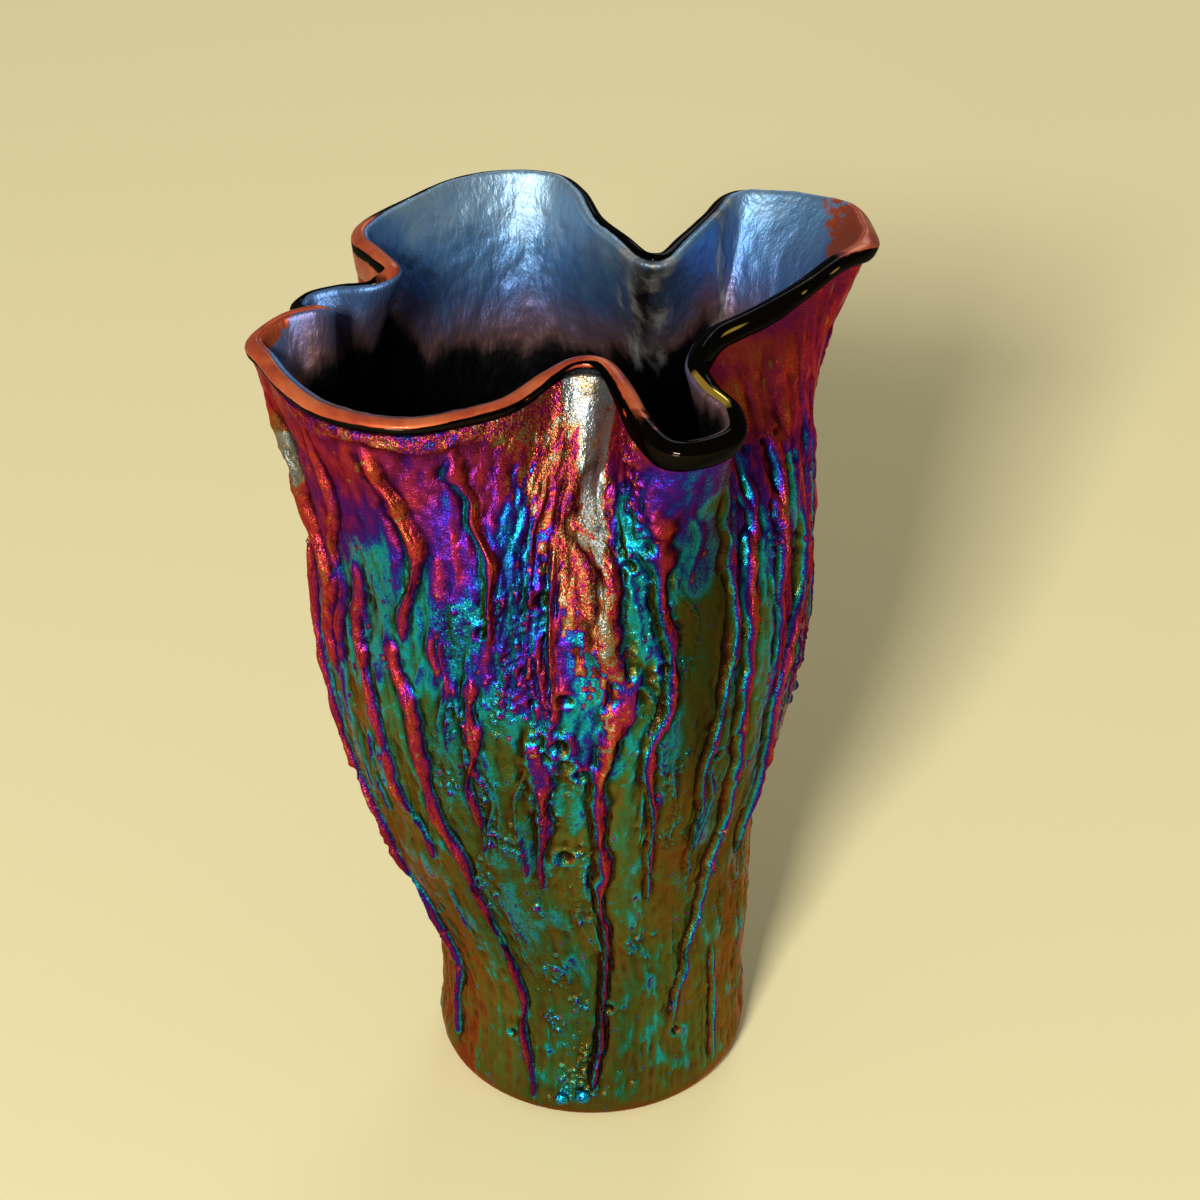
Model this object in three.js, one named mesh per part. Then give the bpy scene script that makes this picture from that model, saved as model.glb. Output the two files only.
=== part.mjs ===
// A hand blown art glass vase: a thick cased vessel with a ruffled rim and a bark-like skin.
//
// The glassmaker gathers dark glass on the pipe and blows it (core_gather), dips it for a second
// layer (outer_casing), lays trails and prunts of hot glass on it, and fires the cut rim round
// (lip_wrap). Lobes are then pulled outwards at the rim and folds are pushed in between them.
//
// Units are millimetres, +Z is up, and the origin is the middle of the foot, on the ground plane.

import * as THREE from "three";
import { mergeVertices } from "three/addons/utils/BufferGeometryUtils.js";

// ---- Driving dimensions ----------------------------------------------------------------------

const HEIGHT = 250; // the ground to the middle of the lip, before lobes droop and folds rise
const FOOT_RADIUS = 46;
const WAIST_RADIUS = 45;
const WAIST_HEIGHT = 25;
const BELLY_RADIUS = 69;
const BELLY_HEIGHT = 168;
const NECK_RADIUS = 66; // the round section that the ruffles start from
const RIM_REACH = 90; // the furthest lobe from the axis

const LEAN = -8.3; // sideways shift of the upper body, along X
const LEAN_START = 40;
const LEAN_END = 100;

const WALL = 4.8; // core and casing together
const CASING_THICKNESS = 2.2;
const CASING_FLOOR = 3.6;
const CORE_FLOOR = 7;
const HEEL_RADIUS = 5; // rounding between the foot and the wall
const WELL_RADIUS = 6; // rounding inside, between the floor and the wall
const LIP_WIDTH = 5.4;
const LIP_HEIGHT = 4.4;
const LIP_DROP = 2; // the seat of the lip below the middle of the lip
const GAP = 0.3; // clearance between layers
const TRAIL_GAP = 0.9; // clearance between the casing and what is laid on it

// ---- Rim -------------------------------------------------------------------------------------

// The middle of the lip, seen from above, for a reach of RIM_DRAWN_REACH. Each row is x, y, how far
// the lip rises above HEIGHT there, and how far down the wall that lobe or fold can be followed.
// A shorter reach also rises less, so that the lip keeps its twist.
const RIM_DRAWN_REACH = 90;
const RIM_OUTLINE = [
  // wide front left lobe
  [-89, -12.5, -3, 95], [-85, -22, -3, 95], [-79, -32.5, -4, 95], [-70, -44, -4, 95],
  [-59, -50.5, -4, 100], [-46.5, -53, -4, 100], [-34.5, -51, -3, 100], [-22, -46, -2, 100],
  // front fold
  [-12, -36.5, 0, 95], [-4, -32.5, 2, 95], [4, -34, 2, 85], [9.5, -43, 0, 75],
  // narrow front lobe
  [14, -54, -3, 65], [20, -62, -5, 60], [28, -62.5, -5, 60], [36, -56, -5, 65],
  [35.5, -48, -3, 75], [30, -41, -1, 80],
  // right front fold
  [27, -31, 1, 75], [31.5, -18, 2, 65], [41, -8.5, 2, 55],
  // raised right lobe
  [53.5, 3.5, 3, 48], [65.5, 17.5, 5, 45], [75, 27, 6, 45], [75.5, 38, 5, 48], [73, 49.5, 4, 50],
  [63, 57.5, 3, 55], [50.5, 62.5, 2, 60], [40, 61.5, 2, 75], [33.5, 50, 1, 90],
  // back right fold
  [26, 36, 1, 95], [20.5, 26, 1, 95], [14.5, 26, 1, 90], [8.5, 36, 1, 85],
  // tall back lobe
  [1, 51, 0, 80], [-4, 68, 0, 80], [-11, 77.5, 0, 80], [-25, 79.5, 0, 80], [-39, 74.5, 0, 75],
  [-51.5, 64, -1, 70], [-62, 50.5, -1, 65], [-64, 41, -1, 70],
  // left back fold
  [-58.5, 30, 0, 75], [-54, 20.5, 0, 70], [-60, 16.5, -2, 60],
  // small left lobe
  [-69, 19.5, -5, 55], [-77, 19, -7, 55], [-79, 12.5, -7, 65],
  // left fold
  [-71, 1, -2, 70], [-73.5, -3.5, 1, 80], [-82, -4.5, -1, 85],
];
const COLUMNS_PER_SPAN = 2;
const COLUMNS = RIM_OUTLINE.length * COLUMNS_PER_SPAN;
const FLARE_POWER = 2; // how late the lobes and folds leave the round section
const START_ANGLE = -158; // where on the round body the first rim point comes from

const rimScale = RIM_REACH / RIM_DRAWN_REACH;
const rimPoints = RIM_OUTLINE.map(([x, y, lift]) => {
  return new THREE.Vector3(x, y, lift).multiplyScalar(rimScale);
});
const rim = new THREE.CatmullRomCurve3(rimPoints, true, "catmullrom", 0.5);
rim.arcLengthDivisions = COLUMNS * 12;
const flarePoints = RIM_OUTLINE.map(([, , , depth]) => new THREE.Vector3(depth, 0, 0));
const flare = new THREE.CatmullRomCurve3(flarePoints, true, "catmullrom", 0.5);
const rimLengths = rim.getLengths();
const rimLength = rimLengths[rimLengths.length - 1];
const seatGap = GAP / rimScale ** 2; // a shorter reach bends the lip more, which takes more room

// ---- Shape of the wall -----------------------------------------------------------------------

function ease(share) {
  const clamped = Math.min(Math.max(share, 0), 1);
  return (1 - Math.cos(Math.PI * clamped)) / 2;
}

function between(z, lowHeight, highHeight, low, high) {
  return low + (high - low) * ease((z - lowHeight) / (highHeight - lowHeight));
}

// Outer radius of the round body, without lobes and folds.
function bodyRadius(z) {
  if (z < WAIST_HEIGHT) return between(z, 0, WAIST_HEIGHT, FOOT_RADIUS, WAIST_RADIUS);
  if (z < BELLY_HEIGHT) return between(z, WAIST_HEIGHT, BELLY_HEIGHT, WAIST_RADIUS, BELLY_RADIUS);
  return between(z, BELLY_HEIGHT, HEIGHT, BELLY_RADIUS, NECK_RADIUS);
}

// Middle of the wall. "along" runs once round the rim by its length, and "height" is in mm.
function wallMiddle(along, height) {
  const turn = along - Math.floor(along);
  const step = rim.getUtoTmapping(turn);
  const edge = rim.getPoint(step);
  const depth = flare.getPoint(step).x;
  const share = height / HEIGHT;
  const z = height + edge.z * share ** 3;
  const fade = Math.max(1 - (HEIGHT - height) / depth, 0) ** FLARE_POWER;
  const angle = THREE.MathUtils.degToRad(START_ANGLE) + turn * 2 * Math.PI;
  const radius = bodyRadius(height) - WALL / 2;
  const x = between(height, LEAN_START, LEAN_END, 0, LEAN) + radius * Math.cos(angle);
  const y = radius * Math.sin(angle);
  return new THREE.Vector3(x + (edge.x - x) * fade, y + (edge.y - y) * fade, z);
}

// Unit vectors on the wall: "out" leaves it, "up" climbs it, "round" follows the rim.
function wallFrame(along, height) {
  const reach = 1;
  const turnStep = reach / rimLength;
  const low = wallMiddle(along, Math.max(height - reach, 0));
  const high = wallMiddle(along, Math.min(height + reach, HEIGHT));
  const up = high.sub(low).normalize();
  const before = wallMiddle(along - turnStep, height);
  const round = wallMiddle(along + turnStep, height).sub(before).normalize();
  const out = round.clone().cross(up).normalize();
  return { out, up, round };
}

function wallPoint(along, height, outward) {
  const point = wallMiddle(along, height);
  return point.addScaledVector(wallFrame(along, height).out, outward);
}

const columnTurns = Array.from({ length: COLUMNS }, (_, column) => rimLengths[column * 12] / rimLength);

// A ring of points round the wall, "outward" from its middle.
function ring(height, outward) {
  return columnTurns.map((along) => wallPoint(along, height, outward));
}

// The same at the floor: pulled in by "inset" and laid level at z.
function levelRing(height, outward, inset, z) {
  return ring(height, outward).map((point) => {
    const radius = Math.hypot(point.x, point.y);
    const share = (radius - inset) / radius;
    return new THREE.Vector3(point.x * share, point.y * share, z);
  });
}

// The top of a layer, square across the wall, just below the seat of the lip.
function topRing(outward) {
  return columnTurns.map((along) => {
    const { out, up } = wallFrame(along, HEIGHT);
    const point = wallMiddle(along, HEIGHT).addScaledVector(out, outward);
    return point.addScaledVector(up, -LIP_DROP - seatGap);
  });
}

// ---- Meshes ----------------------------------------------------------------------------------

function solid(positions, triangles) {
  const geometry = new THREE.BufferGeometry();
  geometry.setAttribute("position", new THREE.Float32BufferAttribute(positions, 3));
  geometry.setIndex(triangles);
  const merged = mergeVertices(geometry, 1e-5);
  merged.computeVertexNormals();
  return merged;
}

// Joins rings into one closed skin. A number first or last closes that end at a middle point there.
function loft(rings, closed, startMiddle, endMiddle) {
  const count = rings[0].length;
  const positions = rings.flatMap((points) => points.flatMap((point) => point.toArray()));
  const triangles = [];
  const last = closed ? rings.length : rings.length - 1;
  for (let row = 0; row < last; row += 1) {
    const here = row * count;
    const following = (row + 1) % rings.length;
    const next = following * count;
    // The same diagonal inside and outside a wall, so that nested layers stay parallel.
    const climbs = rings[following][0].z >= rings[row][0].z;
    for (let column = 0; column < count; column += 1) {
      const beside = (column + 1) % count;
      if (climbs) {
        triangles.push(here + column, here + beside, next + beside);
        triangles.push(here + column, next + beside, next + column);
      } else {
        triangles.push(here + column, here + beside, next + column);
        triangles.push(here + beside, next + beside, next + column);
      }
    }
  }
  const fan = (middle, row, flip) => {
    const centre = positions.length / 3;
    positions.push(...middle.toArray());
    for (let column = 0; column < count; column += 1) {
      const a = row * count + column;
      const b = row * count + ((column + 1) % count);
      triangles.push(...(flip ? [centre, b, a] : [centre, a, b]));
    }
  };
  if (startMiddle) fan(startMiddle, 0, true);
  if (endMiddle) fan(endMiddle, rings.length - 1, false);
  return solid(positions, triangles);
}

const group = new THREE.Group();

function addPiece(name, geometry, look) {
  const mesh = new THREE.Mesh(geometry, new THREE.MeshStandardMaterial(look));
  mesh.name = name;
  group.add(mesh);
  return mesh;
}

const LOOKS = {
  core: { color: 0x3f4b66, roughness: 0.32, metalness: 0.8 },
  casing: { color: 0x5c4a22, roughness: 0.3, metalness: 0.75 },
  lip: { color: 0x7a2f16, roughness: 0.08, metalness: 0.6 },
  trail: { color: 0x8c2440, roughness: 0.25, metalness: 0.8 },
  prunt: { color: 0x2d3f7a, roughness: 0.15, metalness: 0.8 },
};

// ---- Casing and core -------------------------------------------------------------------------

// Heights of the wall's rings, as shares of HEIGHT, closer together where the ruffles start.
const RING_SHARES = [0.1, 0.2, 0.3, 0.4, 0.52, 0.65, 0.76, 0.86, 0.93];
const wallHeights = RING_SHARES.map((share) => share * HEIGHT);
const fromTop = [...wallHeights].reverse();
const QUARTER = Math.PI / 2;
const CORNER_STEPS = 2;

const seam = WALL / 2 - CASING_THICKNESS; // where core and casing meet, from the wall's middle

// A rounded corner between a wall and a level floor, from the floor up to the wall.
function corner(radius, floorHeight, outward) {
  const rings = [];
  for (let step = 0; step < CORNER_STEPS; step += 1) {
    const angle = (step / CORNER_STEPS) * QUARTER;
    const inset = radius * (1 - Math.sin(angle));
    const z = floorHeight + radius * (1 - Math.cos(angle));
    rings.push(levelRing(z, outward, inset, z));
  }
  return rings;
}

function vessel(outward, outerFloor, heel, inward, innerFloor, well) {
  const outside = wallHeights.map((height) => ring(height, outward));
  const inside = fromTop.map((height) => ring(height, inward));
  const rings = [
    ...corner(heel, outerFloor, outward),
    ...outside,
    topRing(outward),
    topRing(inward),
    ...inside,
    ...corner(well, innerFloor, inward).reverse(),
  ];
  const under = new THREE.Vector3(0, 0, outerFloor);
  const inner = new THREE.Vector3(0, 0, innerFloor);
  return loft(rings, false, under, inner);
}

const seamFloor = CASING_FLOOR + GAP;
const coreHeel = HEEL_RADIUS - 1;
addPiece(
  "outer_casing",
  vessel(WALL / 2, 0, HEEL_RADIUS, seam + GAP / 2, CASING_FLOOR, coreHeel),
  LOOKS.casing,
);
addPiece(
  "core_gather",
  vessel(seam - GAP / 2, seamFloor, coreHeel, -WALL / 2, seamFloor + CORE_FLOOR, WELL_RADIUS),
  LOOKS.core,
);

// ---- Lip -------------------------------------------------------------------------------------

const LIP_SIDES = 6;

function lipSection(along) {
  const { out, up } = wallFrame(along, HEIGHT);
  const seat = wallMiddle(along, HEIGHT).addScaledVector(up, -LIP_DROP);
  const points = [];
  for (let side = 0; side <= LIP_SIDES; side += 1) {
    const angle = (side / LIP_SIDES) * Math.PI;
    const across = (LIP_WIDTH / 2) * Math.cos(angle);
    const above = LIP_HEIGHT * Math.sin(angle);
    points.push(seat.clone().addScaledVector(out, across).addScaledVector(up, above));
  }
  return points;
}

addPiece("lip_wrap", loft(columnTurns.map(lipSection).reverse(), true), LOOKS.lip);

// ---- Trails ----------------------------------------------------------------------------------

// Ridges of the bark skin. A path's points are an angle round the body in degrees, 0 along +X, and
// a share of HEIGHT. Widths are for a belly of TRAILS_DRAWN_RADIUS, and follow it when it changes.
const TRAILS_DRAWN_RADIUS = 69;
const TRAILS = {
  crest_ridge: { width: 11, rise: 2.6, path: [[-83, 0.87], [-80, 0.81], [-78, 0.75], [-77, 0.69]] },
  rope_ridge: {
    width: 6.5, rise: 3,
    path: [[-78, 0.665], [-81, 0.52], [-79, 0.37], [-81, 0.26], [-87, 0.16], [-89, 0.08]],
  },
  bark_ridge_01: { width: 7, rise: 2.8, path: [[-156, 0.92], [-156, 0.83], [-152, 0.75], [-154, 0.65]] },
  bark_ridge_02: { width: 5, rise: 2, path: [[-141, 0.94], [-141, 0.87], [-145, 0.79], [-149, 0.66]] },
  bark_ridge_03: { width: 5, rise: 2.2, path: [[-129, 0.94], [-125, 0.9], [-122, 0.85], [-125, 0.75]] },
  bark_ridge_04: {
    width: 5, rise: 2,
    path: [[-138, 0.79], [-141, 0.7], [-137, 0.61], [-136, 0.53], [-128, 0.42]],
  },
  bark_ridge_05: {
    width: 5, rise: 2.2,
    path: [[-130, 0.71], [-125, 0.62], [-124, 0.51], [-117, 0.4], [-116, 0.27], [-116, 0.14], [-112, 0.04]],
  },
  bark_ridge_06: { width: 5, rise: 2.4, path: [[-115, 0.94], [-111, 0.9], [-107, 0.83], [-107, 0.76]] },
  bark_ridge_07: { width: 5, rise: 2, path: [[-111, 0.68], [-109, 0.61], [-112, 0.54], [-110, 0.46]] },
  bark_ridge_08: { width: 4.5, rise: 2, path: [[-93, 0.82], [-92, 0.75], [-91, 0.67]] },
  bark_ridge_09: { width: 7, rise: 2.4, path: [[-96, 0.61], [-95, 0.52], [-96, 0.42]] },
  bark_ridge_10: {
    width: 5, rise: 2.4,
    path: [[-68, 0.89], [-67, 0.81], [-65, 0.74], [-65, 0.67], [-69, 0.6], [-67, 0.5], [-64, 0.37]],
  },
  bark_ridge_11: {
    width: 5, rise: 2,
    path: [[-54, 0.89], [-49, 0.82], [-48, 0.74], [-51, 0.62], [-54, 0.54], [-52, 0.39]],
  },
  bark_ridge_12: {
    width: 6, rise: 2.6,
    path: [[-38, 0.85], [-42, 0.76], [-43, 0.61], [-41, 0.45], [-45, 0.32], [-55, 0.23], [-57, 0.16]],
  },
  bark_ridge_13: { width: 5, rise: 2.2, path: [[-25, 0.88], [-29, 0.8], [-32, 0.66]] },
  bark_ridge_14: { width: 6, rise: 2.8, path: [[-19, 0.77], [-29, 0.6], [-28, 0.37]] },
  bark_ridge_15: { width: 5, rise: 2, path: [[-41, 0.2], [-38, 0.13], [-38, 0.06]] },
  bark_ridge_16: { width: 6, rise: 2.4, path: [[0, 0.82], [4, 0.68], [2, 0.52], [8, 0.36]] },
  bark_ridge_17: { width: 5, rise: 2, path: [[8, 0.24], [14, 0.14], [12, 0.05]] },
  bark_ridge_18: { width: 6, rise: 2.4, path: [[22, 0.84], [26, 0.7], [24, 0.56], [30, 0.42], [28, 0.28]] },
  bark_ridge_19: { width: 5, rise: 2.2, path: [[48, 0.78], [46, 0.64], [52, 0.48], [50, 0.34], [54, 0.18]] },
  bark_ridge_20: { width: 5, rise: 2, path: [[74, 0.74], [70, 0.6], [74, 0.44]] },
  bark_ridge_21: {
    width: 6, rise: 2.6,
    path: [[92, 0.84], [96, 0.7], [92, 0.54], [98, 0.36], [96, 0.2], [99, 0.06]],
  },
  bark_ridge_22: { width: 5, rise: 2.2, path: [[118, 0.8], [122, 0.66], [118, 0.5], [124, 0.34]] },
  bark_ridge_23: {
    width: 6,
    rise: 2.4,
    path: [[142, 0.84], [146, 0.72], [142, 0.56], [136, 0.4], [139, 0.24]],
  },
  bark_ridge_24: {
    width: 5,
    rise: 2.2,
    path: [[168, 0.76], [172, 0.6], [168, 0.45], [162, 0.32], [160, 0.16]],
  },
  bark_ridge_25: {
    width: 6, rise: 2.4,
    path: [[188, 0.8], [192, 0.66], [198, 0.52], [208, 0.37], [214, 0.2], [210, 0.07]],
  },
};
const TRAIL_STEP = 16; // greatest spacing of a trail's sections
const TRAIL_SIDES = 3;
const TRAIL_END = 0.3; // share of the full section left at a trail's ends
const TRAIL_TAPER = 14; // length over which an end tapers

const trailScale = BELLY_RADIUS / TRAILS_DRAWN_RADIUS;

function turnOf(angle) {
  return (angle - START_ANGLE) / 360;
}

// A point on the casing's flat faces between two rings, "side" round the wall and "above" it.
function skinPoint(along, height, side, above) {
  const levels = [0, ...wallHeights, HEIGHT];
  const upper = levels.findIndex((level) => level >= height);
  const low = levels[Math.max(upper - 1, 0)];
  const high = levels[Math.max(upper, 1)];
  const { out } = wallFrame(along, height);
  const turn = along + side / (2 * Math.PI * bodyRadius(height));
  const bottom = wallPoint(turn, low, WALL / 2);
  const top = wallPoint(turn, high, WALL / 2);
  return bottom.lerp(top, (height - low) / (high - low)).addScaledVector(out, above);
}

// Heights of a trail's sections, from its top down, with one at each ring of the casing.
function trailHeights(top, bottom) {
  const stops = [top, ...fromTop.filter((level) => level < top && level > bottom), bottom];
  const heights = [top];
  for (let index = 1; index < stops.length; index += 1) {
    const drop = stops[index - 1] - stops[index];
    const parts = Math.ceil(drop / TRAIL_STEP);
    for (let part = 1; part <= parts; part += 1) {
      heights.push(stops[index - 1] - (drop * part) / parts);
    }
  }
  return heights;
}

// The angle of a trail at a height, easing from one point of its path to the next.
function trailAngle(path, height) {
  const below = path.findIndex(([, share]) => share * HEIGHT <= height + GAP);
  const [lowAngle, lowShare] = path[Math.max(below, 1)];
  const [highAngle, highShare] = path[Math.max(below, 1) - 1];
  return between(height, lowShare * HEIGHT, highShare * HEIGHT, lowAngle, highAngle);
}

function trailGeometry({ width, rise, path }) {
  const top = path[0][1] * HEIGHT;
  const bottom = path[path.length - 1][1] * HEIGHT;
  const rings = trailHeights(top, bottom).map((height) => {
    const along = turnOf(trailAngle(path, height));
    const fromEnd = Math.min(top - height, height - bottom);
    const fullness = TRAIL_END + (1 - TRAIL_END) * ease(fromEnd / TRAIL_TAPER);
    const points = [];
    for (let side = 0; side <= TRAIL_SIDES; side += 1) {
      const angle = (side / TRAIL_SIDES) * Math.PI;
      const across = (width / 2) * trailScale * fullness * Math.cos(angle);
      const above = TRAIL_GAP + rise * fullness * Math.sin(angle);
      points.push(skinPoint(along, height, across, above));
    }
    return points;
  });
  const middle = (points) => {
    const sum = points.reduce((total, point) => total.add(point), new THREE.Vector3());
    return sum.divideScalar(points.length);
  };
  return loft(rings, false, middle(rings[0]), middle(rings[rings.length - 1]));
}

for (const [name, trail] of Object.entries(TRAILS)) {
  addPiece(name, trailGeometry(trail), LOOKS.trail);
}

// ---- Prunts ----------------------------------------------------------------------------------

// Small drops of glass on the skin: angle, share of HEIGHT and radius.
const PRUNTS = {
  lobe_drop_left: [-160.5, 0.955, 3.4],
  lobe_drop_right: [16, 0.965, 3.2],
  foot_prunt_left: [-101, 0.034, 2.6],
  foot_prunt_right: [-93, 0.038, 2.8],
};
const PRUNT_FLATTENING = 0.7;

for (const [name, [angle, share, radius]] of Object.entries(PRUNTS)) {
  const along = turnOf(angle);
  const { out, up, round } = wallFrame(along, share * HEIGHT);
  const outward = WALL / 2 + TRAIL_GAP + radius * PRUNT_FLATTENING;
  const prunt = addPiece(name, new THREE.SphereGeometry(radius, 8, 6), LOOKS.prunt);
  prunt.position.copy(wallPoint(along, share * HEIGHT, outward));
  prunt.setRotationFromMatrix(new THREE.Matrix4().makeBasis(out, round, up));
  prunt.scale.set(PRUNT_FLATTENING, 1, 1);
}

export default group;
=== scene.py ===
# %% [markdown]
# # A hand blown art glass vase
#
# The real vase is dark glass, blown and dipped twice. Hot trails and drops of glass are laid on it
# and marvered in until the skin looks like bark. The rim is opened, pulled into lobes and pushed
# into folds, and the hot vase is fumed with metal salts, which leave a lustre thinner than light's
# wavelength. That film gives the colours: each thickness shows another one.
#
# This lesson builds the visible vase round a packed engineering model. The model is the frame: it
# fixes every place and size, and the pieces made here stand for its nodes.

# %% The frame
import math

import bpy
import numpy as np
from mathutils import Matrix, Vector


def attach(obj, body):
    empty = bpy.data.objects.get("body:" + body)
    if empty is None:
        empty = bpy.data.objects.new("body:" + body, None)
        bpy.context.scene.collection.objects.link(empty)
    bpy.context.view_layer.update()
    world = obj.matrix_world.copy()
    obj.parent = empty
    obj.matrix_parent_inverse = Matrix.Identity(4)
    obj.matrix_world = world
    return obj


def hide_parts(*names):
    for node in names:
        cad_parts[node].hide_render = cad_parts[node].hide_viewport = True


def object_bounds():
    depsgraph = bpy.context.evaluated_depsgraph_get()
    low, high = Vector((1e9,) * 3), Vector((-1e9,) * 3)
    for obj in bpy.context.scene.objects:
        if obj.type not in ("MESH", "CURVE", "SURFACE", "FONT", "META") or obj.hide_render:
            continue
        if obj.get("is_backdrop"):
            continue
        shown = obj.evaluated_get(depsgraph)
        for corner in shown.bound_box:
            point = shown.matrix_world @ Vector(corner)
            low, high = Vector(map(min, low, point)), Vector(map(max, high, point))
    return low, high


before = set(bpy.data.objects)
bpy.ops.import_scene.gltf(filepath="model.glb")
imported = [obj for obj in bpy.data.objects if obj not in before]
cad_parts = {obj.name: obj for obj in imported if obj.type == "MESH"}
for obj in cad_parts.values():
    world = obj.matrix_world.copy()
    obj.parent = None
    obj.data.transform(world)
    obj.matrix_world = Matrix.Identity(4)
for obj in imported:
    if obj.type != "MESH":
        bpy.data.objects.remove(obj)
cad_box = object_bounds()
MM = 0.001
print("the frame has", len(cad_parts), "nodes in a box of", cad_box)

# %% [markdown]
# ## Camera, table and light
#
# The camera looks down over the rim with a long lens, so that the ruffle and the dark inside both
# show. The table is a plain warm cream sheet. Lustre only shows what it reflects, so the light
# matters more than on a matt pot. A soft key light stands far off to the front left, low enough for
# the front lobes to throw their shadow across the inside. Broad weak lights keep the flanks from
# going black.

# %% The camera
camera_data = bpy.data.cameras.new("view_camera")
camera_data.lens = 101.4
camera_data.sensor_width = 36.0
camera_data.clip_end = 20.0
camera = bpy.data.objects.new("view_camera", camera_data)
camera.location = (0.0025, -0.7956, 0.6928)
CAMERA_PITCH = 34.0
camera.rotation_euler = (math.radians(90.0 - CAMERA_PITCH), 0.0, 0.0)
bpy.context.scene.collection.objects.link(camera)
bpy.context.scene.camera = camera
bpy.context.scene.view_settings.view_transform = "Standard"
print("camera at", tuple(camera.location))


# %% The lights
VASE_MIDDLE = Vector((0.0, 0.0, 0.15))


def soft_light(name, place, size, power, colour=(1.0, 1.0, 1.0)):
    """A square area light at place, turned to the vase."""
    data = bpy.data.lights.new(name, "AREA")
    data.shape = "SQUARE"
    data.size = size
    data.energy = power
    data.color = colour
    lamp = bpy.data.objects.new(name, data)
    lamp.location = place
    towards = VASE_MIDDLE - Vector(place)
    lamp.rotation_euler = towards.to_track_quat("-Z", "Y").to_euler()
    bpy.context.scene.collection.objects.link(lamp)


soft_light("key_light", (-0.80, -2.78, 1.95), 0.60, 150.0, (1.0, 0.97, 0.92))
soft_light("low_fill", (-0.7, -2.2, 0.22), 0.5, 16.0, (0.98, 0.98, 1.0))
soft_light("back_light", (0.4, 1.8, 1.4), 0.8, 8.0)

world = bpy.data.worlds.new("studio")
bpy.context.scene.world = world
world.use_nodes = True
sky = world.node_tree.nodes["Background"].inputs
sky["Color"].default_value = (0.95, 0.92, 0.82, 1.0)
sky["Strength"].default_value = 0.26


# %% [markdown]
# ## Shader maths as plain maths
#
# A node tree is an expression drawn as boxes. `Wire` wraps one socket of a tree, so that adding or
# multiplying two wires makes the Math node for it, and `Finish.make` makes any other node from its
# type, its settings and its inputs.

# %% Wires and finishes
BUMP_DEPTH = 0.0006  # metres between the low and high points of a bump


class Wire:
    """One output of a shader tree that can be used in arithmetic."""

    def __init__(self, finish, socket):
        self.finish = finish
        self.socket = socket

    def maths(self, operation, first, second):
        return self.finish.make("ShaderNodeMath", {"operation": operation}, {0: first, 1: second})

    def __add__(self, other):
        return self.maths("ADD", self, other)

    __radd__ = __add__

    def __sub__(self, other):
        return self.maths("SUBTRACT", self, other)

    def __rsub__(self, other):
        return self.maths("SUBTRACT", other, self)

    def __mul__(self, other):
        return self.maths("MULTIPLY", self, other)

    def above(self, edge, softness):
        """0 below edge, rising to 1 over softness."""
        rising = (self - edge) * (1.0 / softness)
        return self.maths("MAXIMUM", self.maths("MINIMUM", rising, 1.0), 0.0)


class Finish:
    """A material under construction, with its Principled shader ready."""

    def __init__(self, name, **constants):
        self.material = bpy.data.materials.new(name)
        self.material.use_nodes = True
        self.tree = self.material.node_tree
        self.shader = self.tree.nodes["Principled BSDF"]
        for socket, value in constants.items():
            self.shader.inputs[socket.replace("_", " ")].default_value = value

    def make(self, kind, settings=None, inputs=None, output=0):
        node = self.tree.nodes.new(kind)
        for key, value in (settings or {}).items():
            setattr(node, key, value)
        for key, value in (inputs or {}).items():
            self.feed(node.inputs[key], value)
        return Wire(self, node.outputs[output])

    def feed(self, socket, value):
        if isinstance(value, Wire):
            self.tree.links.new(value.socket, socket)
        else:
            socket.default_value = value

    def drive(self, **wires):
        for socket, wire in wires.items():
            self.feed(self.shader.inputs[socket.replace("_", " ")], wire)

    def attribute(self, name):
        """A number that the mesh carries at each point."""
        return self.make("ShaderNodeAttribute", {"attribute_name": name}, output="Fac")

    def noise(self, scale, detail=3.0, stretch=(1.0, 1.0, 1.0)):
        """Fractal noise from 0 to 1, with scale in lumps per metre."""
        place = self.make("ShaderNodeTexCoord", output="Object")
        where = self.make("ShaderNodeVectorMath", {"operation": "MULTIPLY"}, {0: place, 1: stretch})
        sockets = {"Vector": where, "Scale": scale, "Detail": detail, "Roughness": 0.55}
        return self.make("ShaderNodeTexNoise", None, sockets)

    def ramp(self, value, stops):
        """The colour for a value, blended between stops of a place and a colour."""
        ramp = self.make("ShaderNodeValToRGB", None, {"Fac": value})
        elements = ramp.socket.node.color_ramp.elements
        while len(elements) < len(stops):
            elements.new(1.0)
        for element, (place, colour) in zip(elements, stops):
            element.position = place
            element.color = (*colour, 1.0)
        return ramp

    def mix(self, factor, first, second, blend="MIX"):
        settings = {"data_type": "RGBA", "blend_type": blend}
        return self.make("ShaderNodeMix", settings, {0: factor, 6: first, 7: second}, output=2)

    def bump(self, height, strength):
        inputs = {"Height": height, "Strength": strength, "Distance": BUMP_DEPTH}
        return self.make("ShaderNodeBump", None, inputs)


# %% [markdown]
# ## The wall
#
# Every layer of the vase follows one surface, the middle of the wall. Low down it is a round,
# waisted body that leans a little. Towards the top each column of it bends to its own point of the
# rim, a closed curve with five lobes and five folds. The frame was made from the same values, so
# the box of each frame node tells whether they agree.

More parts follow.
